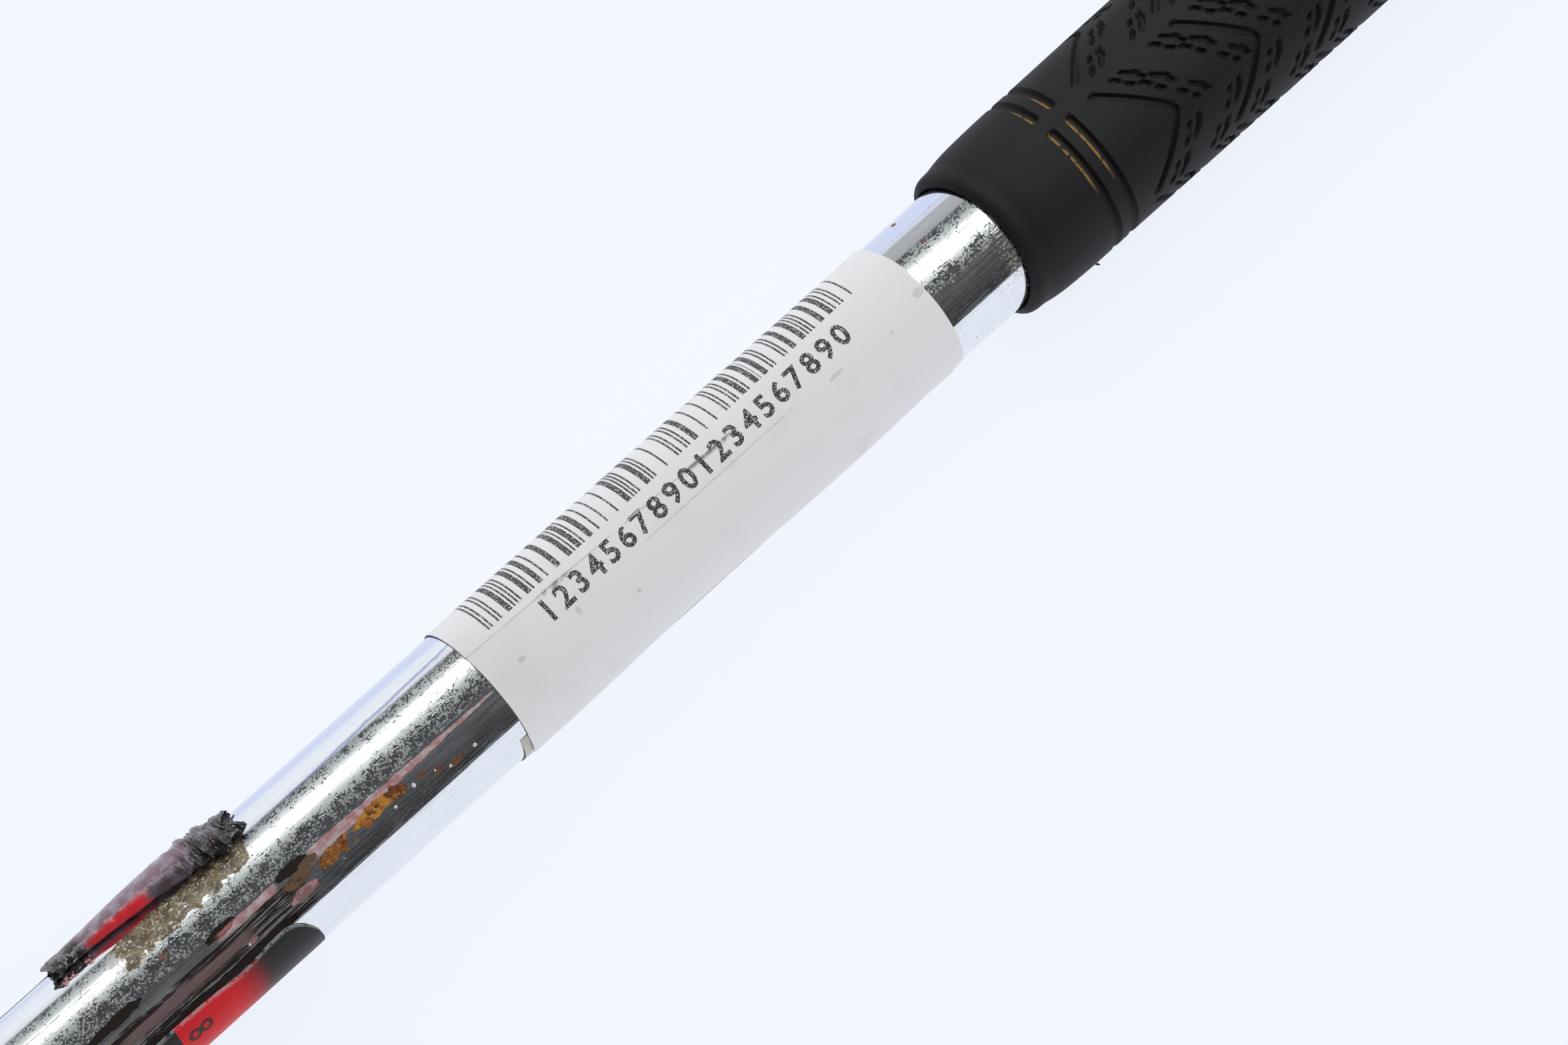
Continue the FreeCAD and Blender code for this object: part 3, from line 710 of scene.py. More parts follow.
@dataclass(frozen=True)
class DecalFilmVinyl(Finish):
    """Glossy printed film: black ends and a red middle that fades into the black."""

    name: str = "decal_vinyl_film"
    black: Colour = (0.020, 0.021, 0.022)
    red: Colour = (0.60, 0.010, 0.016)
    red_from: float = 212.5
    red_to: float = 232.5
    fade: float = 9.5
    scuff: Colour = (0.10, 0.10, 0.10)
    torn: Colour = (0.40, 0.40, 0.41)
    loops: Span = (215.1, 217.4)
    loop_turn: float = -69.0
    loop_radius: float = 0.95
    millimetres_per_degree: float = 0.225

    def sockets(self, recipe: Recipe) -> dict[int | str, Value]:
        """Print, with two plain joined loops on the red, scuffs and a pale worn rim."""
        place = recipe.object_place()
        x, y, z = recipe.split(place)
        angle = recipe.turn(y, z)
        grain = recipe.noise(place, 1300.0, 3.0)
        cloud = recipe.noise(place, 150.0, 3.0)
        fade = (x + (cloud - 0.5) * 3.0).rise(self.red_to, self.red_to - self.fade) * x.above(self.red_from)
        tone = recipe.dye(fade, self.black, self.red)
        up = (angle - self.loop_turn) * self.millimetres_per_degree
        for middle in self.loops:
            across = x - middle
            square = across * across + up * up
            ring = abs(square.sum_with("POWER", square, 0.5) - self.loop_radius)
            tone = recipe.dye(ring.rise(0.45, 0.30) * 0.9, tone, self.black)
        tone = recipe.dye(grain.rise(0.60, 0.72) * 0.22, tone, self.scuff)
        rim = recipe.node("ShaderNodeAttribute", {"attribute_name": "rim"}, output="Fac")
        tone = recipe.dye(rim * grain.rise(0.36, 0.54) * 0.55, tone, self.torn)
        return {
            "Base Color": tone,
            "Roughness": 0.34 + cloud * 0.16,
            "Specular IOR Level": 0.16,
            "Normal": recipe.relief(cloud * 0.7 + grain * 0.3, 0.00006, 0.4),
        }


@dataclass(frozen=True)
class DecalRollVinyl(Finish):
    """The curled loose end of the decal: a plum gloss side, a red side, dirty black ends and a painted
    shadow on its underside.
    """

    name: str = "decal_vinyl_roll"
    black: Colour = (0.012, 0.012, 0.011)
    plum: Colour = (0.21, 0.13, 0.17)
    bloom: Colour = (0.40, 0.36, 0.44)
    red: Colour = (0.70, 0.02, 0.035)
    crumbs: Colour = (0.52, 0.50, 0.40)
    red_along: Span = (212.0, 224.0)
    black_ends: Span = (211.0, 233.5)
    red_over: float = 38.0

    def sockets(self, recipe: Recipe) -> dict[int | str, Value]:
        """Print, dirt, stuck crumbs and a painted shadow on the underside, placed along the roll."""
        place = recipe.object_place()
        x, y, z = recipe.split(place)
        angle = recipe.turn(y, z)
        cloud = recipe.noise(place, 420.0, 4.0)
        grain = recipe.noise(place, 1800.0, 3.0)
        first, last = self.black_ends
        far_end = (x + (cloud - 0.5) * 5.0).rise(last - 1.0, last + 1.0)
        dirty_end = x.rise(first + 0.8, first - 0.8).most(far_end)
        lower = (angle + (x - 218.0) * 0.40).rise(self.red_over + 2.5, self.red_over - 2.5)
        red = lower * (x + (cloud - 0.5) * 3.0).band(*self.red_along, 1.2)
        tone = recipe.dye(cloud.rise(0.42, 0.62) * 0.6, self.plum, self.bloom)
        # Painted shadow: the underside of the roll is darkened toward black, except where the red print
        # covers it.
        tone = recipe.dye(lower * 0.70, tone, self.black)
        tone = recipe.dye(red, tone, self.red)
        tone = recipe.dye(dirty_end * (cloud.rise(0.60, 0.42) * 0.35 + 0.62), tone, self.black)
        stuck = dirty_end * grain.rise(0.57, 0.63) * cloud.rise(0.40, 0.52)
        tone = recipe.dye(stuck * 0.6, tone, self.crumbs)
        return {
            "Base Color": tone,
            "Roughness": 0.24 + cloud * 0.2 + stuck * 0.4,
            "Coat Weight": 0.3,
            "Coat Roughness": 0.2,
            "Normal": recipe.relief(cloud * 0.6 + grain * 0.4, 0.00025, 0.7),
        }


@dataclass(frozen=True)
class LumpFinish(Finish):
    """Small lumps that stuck to the tube, such as glue crumbs and rust scale."""

    name: str
    light: Colour
    dark: Colour
    roughness: float = 0.6

    def sockets(self, recipe: Recipe) -> dict[int | str, Value]:
        """Two mixed colours and a coarse grain."""
        place = recipe.object_place()
        cloud = recipe.noise(place, 620.0, 3.0)
        grain = recipe.noise(place, 3000.0, 2.0)
        return {
            "Base Color": recipe.dye(cloud.rise(0.42, 0.60), self.light, self.dark),
            "Roughness": self.roughness + (grain - 0.5) * 0.3,
            "Normal": recipe.relief(grain, 0.00010, 0.7),
        }


@dataclass(frozen=True)
class StudioFloor(Finish):
    """A pale floor that also glows a little, as a light table does."""

    name: str = "studio_floor"
    colour: Colour = (0.100, 0.104, 0.112)
    cloudy: Colour = (0.09, 0.094, 0.10)
    glow_colour: Colour = (0.88, 0.92, 1.0)
    glow: float = 0.92

    def sockets(self, recipe: Recipe) -> dict[int | str, Value]:
        """An even pale surface."""
        cloud = recipe.noise(recipe.object_place(), 3.0, 2.0)
        tone = recipe.dye(cloud * 0.1, self.colour, self.cloudy)
        return {
            "Base Color": tone,
            "Roughness": 0.9,
            "Specular IOR Level": 0.1,
            "Emission Color": (*self.glow_colour, 1.0),
            "Emission Strength": self.glow,
        }


# ---------------------------------------------------------------- bench work


def pick(*pieces: bpy.types.Object) -> None:
    """Selects these pieces alone, and makes the last of them active."""
    bpy.ops.object.select_all(action="DESELECT")
    for piece in pieces:
        piece.select_set(True)
        bpy.context.view_layer.objects.active = piece


def named(name: str) -> bpy.types.Object:
    """Names the piece that an operator has just added, with its mesh, and returns it."""
    piece = bpy.context.view_layer.objects.active
    piece.name = name
    piece.data.name = name
    return piece


def seat(piece: bpy.types.Object, body: Body, slot: Slot, *nodes: str) -> bpy.types.Object:
    """Lets a piece ride on its body, in place of the CAD nodes that it stands for."""
    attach(piece, body.value)
    if nodes:
        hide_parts(*nodes)
    return piece


def paint(piece: bpy.types.Object, *finishes: Finish) -> None:
    """Gives a piece its finishes, one to a slot."""
    piece.data.materials.clear()
    for finish in finishes:
        piece.data.materials.append(finish.material())


def modified(piece: bpy.types.Object, kind: str, **settings: object) -> None:
    """Adds one modifier, sets it and applies it."""
    pick(piece)
    bpy.ops.object.modifier_add(type=kind)
    modifier = piece.modifiers[-1]
    for name, value in settings.items():
        setattr(modifier, name, value)
    bpy.ops.object.modifier_apply(modifier=modifier.name)


def smoothed(piece: bpy.types.Object, degrees: float = 32.0) -> None:
    """Shades a piece smooth, apart from edges sharper than an angle."""
    pick(piece)
    bpy.ops.object.shade_smooth_by_angle(angle=math.radians(degrees))


def places(piece: bpy.types.Object) -> np.ndarray:
    """The vertices of a piece as rows of x, y and z, in metres."""
    rows = np.empty(len(piece.data.vertices) * 3)
    piece.data.vertices.foreach_get("co", rows)
    return rows.reshape(-1, 3)


def put_places(piece: bpy.types.Object, rows: np.ndarray) -> None:
    """Moves the vertices of a piece."""
    piece.data.vertices.foreach_set("co", rows.astype(np.float32).ravel())
    piece.data.update()


def round_the_bar(x: np.ndarray, angle: np.ndarray, radius: np.ndarray) -> np.ndarray:
    """Places in metres from millimetres along, degrees round and millimetres out from the bar."""
    turn = np.radians(angle)
    return np.column_stack((x, radius * np.sin(turn), radius * np.cos(turn))) * MM


def eased(value: np.ndarray, low: float, high: float) -> np.ndarray:
    """Goes smoothly from 0 at low to 1 at high, either way round."""
    share = np.clip((value - low) / (high - low), 0.0, 1.0)
    return share * share * (3.0 - 2.0 * share)


def ripple(x: np.ndarray, y: np.ndarray, seed: int, waves: int = 7, length: float = 8.0) -> np.ndarray:
    """A seeded sum of plane waves over a surface, between about -1 and 1.

    Args:
        x: The places along the surface.
        y: The places across it, in the same unit.
        seed: Which waves are drawn.
        waves: How many waves there are.
        length: The longest wave.

    Returns:
        The height at each place.
    """
    draw = np.random.default_rng(seed)
    height = np.zeros_like(x, dtype=float)
    for _ in range(waves):
        heading = draw.uniform(0.0, math.tau)
        pitch = length * draw.uniform(0.25, 1.0)
        phase = draw.uniform(0.0, math.tau)
        height += np.sin((x * math.cos(heading) + y * math.sin(heading)) * math.tau / pitch + phase)
    return height / math.sqrt(waves * 2.0)


def sheet_grid(name: str, columns: int, rows: int) -> tuple[bpy.types.Object, np.ndarray, np.ndarray]:
    """Adds a flat grid for a sheet.

    Args:
        name: The piece's name.
        columns: Divisions along the bar.
        rows: Divisions round the bar.

    Returns:
        The piece, and each vertex's share along and across, from 0 to 1.
    """
    bpy.ops.object.select_all(action="DESELECT")
    bpy.ops.mesh.primitive_grid_add(x_subdivisions=columns, y_subdivisions=rows, size=1.0)
    piece = named(name)
    flat = places(piece)
    return piece, flat[:, 0] + 0.5, flat[:, 1] + 0.5


def thickened(sheet: bpy.types.Object, thickness: float) -> None:
    """Turns a wrapped sheet's faces outward and gives it a thickness inward.

    Args:
        sheet: The sheet, wrapped round the bar.
        thickness: How thick it is, in millimetres.
    """
    face = sheet.data.polygons[0]
    inward = face.normal.dot(Vector((0.0, face.center.y, face.center.z))) < 0.0
    pick(sheet)
    bpy.ops.object.mode_set(mode="EDIT")
    bpy.ops.mesh.select_all(action="SELECT")
    if inward:
        bpy.ops.mesh.flip_normals()
    bpy.ops.object.mode_set(mode="OBJECT")
    modified(sheet, "SOLIDIFY", thickness=thickness * MM, offset=-1.0, use_even_offset=False)
    smoothed(sheet, 50.0)


def spun(name: str, outline: Sequence[Span], steps: int) -> bpy.types.Object:
    """Spins a closed outline round the bar's centre line.

    Args:
        name: The piece's name.
        outline: Places along and radii, in millimetres, in order round the section.
        steps: How many faces go round.

    Returns:
        The closed ring, with its faces outward.
    """
    mesh = bpy.data.meshes.new(name)
    count = len(outline)
    edges = [(index, (index + 1) % count) for index in range(count)]
    mesh.from_pydata([(x * MM, 0.0, radius * MM) for x, radius in outline], edges, [])
    piece = bpy.data.objects.new(name, mesh)
    bpy.context.scene.collection.objects.link(piece)
    pick(piece)
    bpy.ops.object.mode_set(mode="EDIT")
    bpy.ops.mesh.select_all(action="SELECT")
    bpy.ops.mesh.spin(steps=steps, angle=math.tau, center=(0.0, 0.0, 0.0), axis=(1.0, 0.0, 0.0))
    bpy.ops.mesh.select_all(action="SELECT")
    bpy.ops.mesh.remove_doubles(threshold=0.002 * MM)
    bpy.ops.mesh.normals_make_consistent(inside=False)
    bpy.ops.object.mode_set(mode="OBJECT")
    return piece


def smooth_line(x: np.ndarray, points: Sequence[Span]) -> np.ndarray:
    """A smooth line through points, by cubic pieces with averaged slopes."""
    known_x = np.array([point[0] for point in points])
    known_y = np.array([point[1] for point in points])
    slope = np.gradient(known_y, known_x)
    part = np.clip(np.searchsorted(known_x, x) - 1, 0, len(known_x) - 2)
    width = known_x[part + 1] - known_x[part]
    share = np.clip((x - known_x[part]) / width, 0.0, 1.0)
    rise_0 = slope[part] * width
    rise_1 = slope[part + 1] * width
    start, end = known_y[part], known_y[part + 1]
    cube, square = share**3, share**2
    line = (2 * cube - 3 * square + 1) * start + (cube - 2 * square + share) * rise_0
    return line + (3 * square - 2 * cube) * end + (cube - square) * rise_1


def strewn(seed: int, count: int, along: Span, turns: Span) -> list[Span]:
    """Seeded places in a patch of the bar, each along it in millimetres and round it in degrees."""
    draw = np.random.default_rng(seed)
    return [(draw.uniform(*along), draw.uniform(*turns)) for _ in range(count)]


def box_mm(node: str) -> tuple[Vector, Vector]:
    """The lowest and highest corners of a CAD node, in millimetres."""
    low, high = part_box(node)
    return Vector(low) / MM, Vector(high) / MM


# ---------------------------------------------------------------- the bar's sub-assemblies


@dataclass
class TubeHandle:
    """The chromed tube with its two cross pins."""

    segments: int = 288
    wall: float = 2.6
    end_round: float = 0.4
    flat_rings: Span = (0.5, 1.0)
    beside_pins: float = 6.0
    pin_radius: float = 2.5
    pin_gap: float = 0.06

    def __post_init__(self) -> None:
        """Takes the tube's size and place from the frame."""
        low, high = box_mm("handle_tube")
        self.start, self.end, self.radius = low.x, high.x, high.z
        pins_low, pins_high = box_mm("shank_pins")
        self.pins = (pins_low.x + self.pin_radius, pins_high.x - self.pin_radius)

    def build(self) -> bpy.types.Object:
        """Turns the tube, drills its pin holes and plates it.

        Returns:
            The tube.
        """
        outer, inner, ease = self.radius, self.radius - self.wall, self.end_round
        first, last = self.start + ease, self.end - ease
        near, far = self.flat_rings
        rings = (
            first, first + near, first + far, self.pins[0] - self.beside_pins,
            self.pins[1] + self.beside_pins, last - far, last - near, last,
        )
        outline = [(self.start, inner + ease), (self.start, outer - ease)]
        outline += [(self.start + ease * 0.3, outer - ease * 0.3), *((place, outer) for place in rings)]
        outline += [(self.end - ease * 0.3, outer - ease * 0.3), (self.end, outer - ease)]
        outline += [(self.end, inner + ease), (last, inner), (first, inner)]
        tube = spun("handle_tube_chrome", outline, self.segments)
        for number, place in enumerate(self.pins):
            bpy.ops.object.select_all(action="DESELECT")
            bpy.ops.mesh.primitive_cylinder_add(
                vertices=64, radius=(self.pin_radius + self.pin_gap) * MM, depth=4.0 * outer * MM,
                location=(place * MM, 0.0, 0.0), rotation=(math.pi / 2.0, 0.0, 0.0),
            )
            drill = named(f"drill_{number}")
            modified(tube, "BOOLEAN", object=drill, operation="DIFFERENCE", solver="EXACT")
            bpy.data.objects.remove(drill)
        smoothed(tube, 25.0)
        paint(tube, TubeChrome(mouth=box_mm("rubber_grip")[0].x))
        return seat(tube, Body.HANDLE, Slot.TUBE, "handle_tube")


@dataclass
class GripPattern:
    """Where the grooves and dimples of the grip lie, in millimetres from its mouth and degrees round it."""

    edge_ease: Span = (0.08, 0.30)
    ring_places: Span = (19.5, 23.5)
    ring_half: float = 0.90
    ring_depth: float = 0.95
    bridge_centre: float = 11.1
    bridge_half: float = 6.2
    ring_end: float = 2.2
    column_centres: tuple[float, ...] = (-36.1, 58.3, -125.0, 147.3)
    chevron_reach: float = 39.2
    chevron_slope: float = 0.2636
    chevron_bend: float = 3.3
    chevron_start: float = 38.9
    chevron_pitch: float = 19.6
    chevrons: int = 7
    chevron_half: float = 0.68
    chevron_depth: float = 0.85
    dimple_rows: Span = (5.0, 14.8)
    dimple_turns: tuple[float, ...] = (0.0, 19.2, 33.0, -18.4, -37.2)
    dimple_depth: float = 0.85
    dimple_reach: float = 3.6
    lobe_edge: Span = (1.12, 0.70)
    lobes: tuple[Oval, ...] = (
        (-2.00, 1.25, 1.10, 0.52), (0.35, 1.15, 1.10, 0.52), (1.45, 0.05, 1.00, 0.58),
        (-0.45, -0.90, 0.92, 0.48), (1.85, -1.15, 0.88, 0.52),
    )
    lobe_lean: float = -44.0
    radius: float = 15.95
    shear_from: float = 24.7
    shear_full: float = 37.4
    shear_after: float = 3.4
    shear_fade: float = 6.5
    butt_ring_after: float = 11.2

    @property
    def last_chevron(self) -> float:
        """The place of the last chevron's point."""
        return self.chevron_start + (self.chevrons - 1) * self.chevron_pitch

    def from_column(self, angle: np.ndarray) -> np.ndarray:
        """The angle from the middle of the nearest column of chevrons."""
        offsets = np.array([(angle - centre + 180.0) % 360.0 - 180.0 for centre in self.column_centres])
        nearest = np.argmin(np.abs(offsets), axis=0)
        return np.take_along_axis(offsets, nearest[None, :], axis=0)[0]

    def drawn_back(self, turn: np.ndarray) -> np.ndarray:
        """How far an arm has drawn back from its point at an angle from the column's middle."""
        return self.chevron_slope * (np.hypot(turn, self.chevron_bend) - self.chevron_bend)

    def shear(self, along: np.ndarray, angle: np.ndarray) -> np.ndarray:
        """How far a row of the mesh is drawn back, so that rows run along the chevrons."""
        after = self.last_chevron + self.dimple_rows[0] + self.shear_after
        share = np.clip((along - self.shear_from) / (self.shear_full - self.shear_from), 0.0, 1.0)
        share *= np.clip((after + self.shear_fade - along) / self.shear_fade, 0.0, 1.0)
        return self.drawn_back(self.from_column(angle)) * share

    def groove(self, away: np.ndarray, half: float) -> np.ndarray:
        """The section of a groove, from 0 outside to 1 on its floor, at distances from its middle."""
        return eased(away, half + self.edge_ease[0], half - self.edge_ease[1])

    def rows_after(self, number: int) -> list[float]:
        """Where the dimple rows lie past a chevron's point. The last chevron has one row."""
        return list(self.dimple_rows[:1] if number == self.chevrons - 1 else self.dimple_rows)

    def depth(self, along: np.ndarray, angle: np.ndarray) -> np.ndarray:
        """How deep the surface is pressed in at each place, in millimetres."""
        pressed = np.zeros_like(along)
        per_degree = math.radians(1.0) * self.radius
        from_bridge = np.abs((angle - self.bridge_centre + 90.0) % 180.0 - 90.0)
        short = np.clip((self.bridge_half + self.ring_end) - from_bridge, 0.0, None) * per_degree
        for place in (*self.ring_places, *self.butt_rings):
            ring = self.groove(np.hypot(along - place, short), self.ring_half)
            pressed = np.maximum(pressed, self.ring_depth * ring)
        turn = self.from_column(angle)
        held = np.clip(np.abs(turn), 0.0, self.chevron_reach)
        past = (np.abs(turn) - held) * per_degree
        steep = self.chevron_slope * held / np.hypot(held, self.chevron_bend) / per_degree
        for number in range(self.chevrons):
            tip = self.chevron_start + number * self.chevron_pitch
            off = (along - tip + self.drawn_back(held)) / np.sqrt(1.0 + steep**2)
            chevron = self.groove(np.hypot(off, past), self.chevron_half)
            pressed = np.maximum(pressed, self.chevron_depth * chevron)
            for row in self.rows_after(number):
                dimples = self.dimples(along, turn, tip + row, per_degree)
                pressed = np.maximum(pressed, self.dimple_depth * dimples)
        return pressed

    def dimples(self, along: np.ndarray, turn: np.ndarray, tip: float, per_degree: float) -> np.ndarray:
        """The dimples of one row, from 0 outside to 1 at their floors."""
        share = np.zeros_like(along)
        lean = math.radians(self.lobe_lean)
        for place in self.dimple_turns:
            way = -1.0 if place < 0.0 else 1.0
            right = (turn - place) * per_degree * way
            ahead = along - tip + float(self.drawn_back(np.array(place)))
            near = np.hypot(right, ahead) < self.dimple_reach
            for middle_ahead, middle_right, half_long, half_short in self.lobes:
                out, side = ahead - middle_ahead, right - middle_right
                long = out * math.cos(lean) + side * math.sin(lean)
                wide = side * math.cos(lean) - out * math.sin(lean)
                away = np.hypot(long / half_long, wide / half_short)
                share = np.maximum(share, near * eased(away, *self.lobe_edge))
        return share

    @property
    def butt_rings(self) -> Span:
        """The pair of ring grooves near the butt."""
        first = self.last_chevron + self.dimple_rows[0] + self.butt_ring_after
        return first, first + self.ring_places[1] - self.ring_places[0]

    def rows(self, length: float) -> list[float]:
        """Where the rows of the mesh lie along the grip, close together at each groove and dimple."""
        across = (-1.05, -0.78, -0.58, -0.38, 0.0, 0.38, 0.58, 0.78, 1.05)
        stations = [0.12, 0.3, 0.55, 0.9, 1.4, 2.0, 2.8, 3.8, 5.0, 6.4, 8.0, 10.0, 12.0, 14.0, 16.0, 17.6]
        for ring in (*self.ring_places, *self.butt_rings):
            stations += [ring + offset * 1.25 for offset in across]
        stations += list(np.linspace(self.shear_from + 0.4, self.chevron_start - 1.5, 12))
        for number in range(self.chevrons):
            tip = self.chevron_start + number * self.chevron_pitch
            stations += [tip + offset for offset in across]
            stations += [tip + 1.6]
            for row in self.rows_after(number):
                stations += list(tip + row + np.linspace(-2.8, 2.8, 19))
            if number < self.chevrons - 1:
                stations += [tip + offset for offset in (8.7, 9.9, 11.1, 18.1)]
        last = self.last_chevron + self.dimple_rows[0] + 2.9
        stations += [last + 0.8, last + 2.4, last + 4.2, last + 6.4]
        stations += list(np.linspace(self.butt_rings[1] + 1.6, length - 1.6, 4))
        stations += [length - 0.9, length - 0.4]
        return sorted(set(round(station, 3) for station in stations))


@dataclass
class RubberGrip:
    """The slip-on rubber grip with its moulded pattern."""

    columns: int = 248
    bore_ease: float = 0.05
    mouth: tuple[Span, ...] = (
        (0.0, 13.30), (0.3, 14.00), (0.8, 14.50), (1.6, 14.82), (2.6, 14.90), (3.8, 14.98), (5.2, 15.26),
        (7.5, 15.55), (12.2, 15.78), (26.0, 15.93), (44.0, 16.08), (117.0, 16.12),
    )
    mouth_lean: float = 2.2
    mouth_turn: float = -17.5
    butt_round: float = 0.9
    pattern: GripPattern = field(default_factory=GripPattern)

    def __post_init__(self) -> None:
        """Takes the grip's size and place from the frame."""
        low, high = box_mm("rubber_grip")
        self.start, self.end, self.butt_radius = low.x, high.x, high.z
        self.bore = box_mm("grip_tape")[1].z + self.bore_ease

    @property
    def length(self) -> float:
        """How long the grip is."""
        return self.end - self.start

    def outer(self, along: np.ndarray) -> np.ndarray:
        """The outer radius at places from the mouth."""
        swell = (self.length - 9.0, 16.18)
        shoulder = (self.length - 3.0, self.butt_radius - 0.12)
        butt = (self.length, self.butt_radius - 0.04)
        radius = smooth_line(along, (*self.mouth, swell, shoulder, butt))
        corner = np.clip(along - (self.length - self.butt_round), 0.0, self.butt_round)
        return radius - (self.butt_round - np.sqrt(self.butt_round**2 - corner**2)) * 0.95

    def build(self) -> list[bpy.types.Object]:
        """Moulds the grip and leaves its sprue.

        Returns:
            The grip and the nib of rubber beside its ring grooves.
        """
        stations = np.array(self.pattern.rows(self.length))
        outline = [(self.start + 0.5, self.bore), (self.start + 0.08, self.bore + 0.12), (self.start, 13.3)]
        radii = self.outer(stations)
        outline += [(self.start + station, radius) for station, radius in zip(stations, radii)]
        outline += [(self.end, self.butt_radius - 1.2), (self.end, self.bore + 0.2)]
        outline += [(self.end - 0.2, self.bore)]
        grip = spun("rubber_grip_moulded", outline, self.columns)
        self._mould(grip)
        smoothed(grip, 42.0)
        paint(grip, GripRubber())
        seat(grip, Body.HANDLE, Slot.RUBBER, "rubber_grip")
        return [grip, self._nib()]

    def _mould(self, grip: bpy.types.Object) -> None:
        """Draws the rows along the chevrons, presses the pattern in and marks where dirt lies."""
        rows = places(grip) / MM
        along = rows[:, 0] - self.start
        angle = np.degrees(np.arctan2(rows[:, 1], rows[:, 2]))
        radius = np.hypot(rows[:, 1], rows[:, 2])
        skin = (radius > self.bore + 0.5) & (along > 0.1) & (along < self.length - 0.05)
        placed = along - self.pattern.shear(along, angle) * skin
        depth = self.pattern.depth(placed, angle) * skin
        radius = np.where(skin, self.outer(placed) - depth, radius)
        pushed = self.mouth_lean * np.clip(np.cos(np.radians(angle - self.mouth_turn)), 0.0, None)
        pushed = pushed * eased(along, 12.0, 0.0)
        put_places(grip, round_the_bar(placed + pushed + self.start, angle, radius))
        dirt = grip.data.attributes.new("dirt", "FLOAT", "POINT")
        dirt.data.foreach_set("value", self._dirt(placed, angle, depth).astype(np.float32))

    def _dirt(self, along: np.ndarray, angle: np.ndarray, depth: np.ndarray) -> np.ndarray:
        """Ochre dirt in the ends of the ring grooves, from 0 to 1."""
        bridge = (angle - self.pattern.bridge_centre + 180.0) % 360.0 - 180.0
        first, second = self.pattern.ring_places
        in_ring = (depth > 0.25) & (along < second + 1.2) & (along > first - 1.2)
        upper = eased(bridge, 5.0, 8.0) * eased(bridge, 36.0, 24.0)
        lower = eased(-bridge, 5.0, 8.0) * eased(-bridge, 62.0, 40.0)
        wall = 0.62
        away = np.minimum(np.abs(along - first + wall), np.abs(along - second + wall))
        return in_ring * np.maximum(upper, lower) * eased(away, 0.42, 0.20)

    def _nib(self) -> bpy.types.Object:
        """The short torn sprue on the underside of the grip."""
        bpy.ops.object.select_all(action="DESELECT")
        bpy.ops.mesh.primitive_cone_add(vertices=16, radius1=0.42 * MM, radius2=0.10 * MM, depth=1.2 * MM)
        nib = named("grip_sprue_nib")
        pick(nib)
        bpy.ops.object.mode_set(mode="EDIT")
        bpy.ops.mesh.select_all(action="SELECT")
        bpy.ops.mesh.subdivide(number_cuts=2, smoothness=0.0)
        bpy.ops.object.mode_set(mode="OBJECT")
        rows = places(nib) / MM
        along, angle = 15.2, -109.0
        base = float(self.outer(np.array([along]))[0]) - 0.25
        height = rows[:, 2] + 0.6
        bent = rows[:, 0] + 0.35 * height**1.5
        turn = angle + np.degrees((rows[:, 1] + 0.1 * height) / base)
        put_places(nib, round_the_bar(self.start + along + bent, turn, base + height * 0.75))
        smoothed(nib, 50.0)
        paint(nib, GripRubber())
        return seat(nib, Body.HANDLE, Slot.RUBBER)


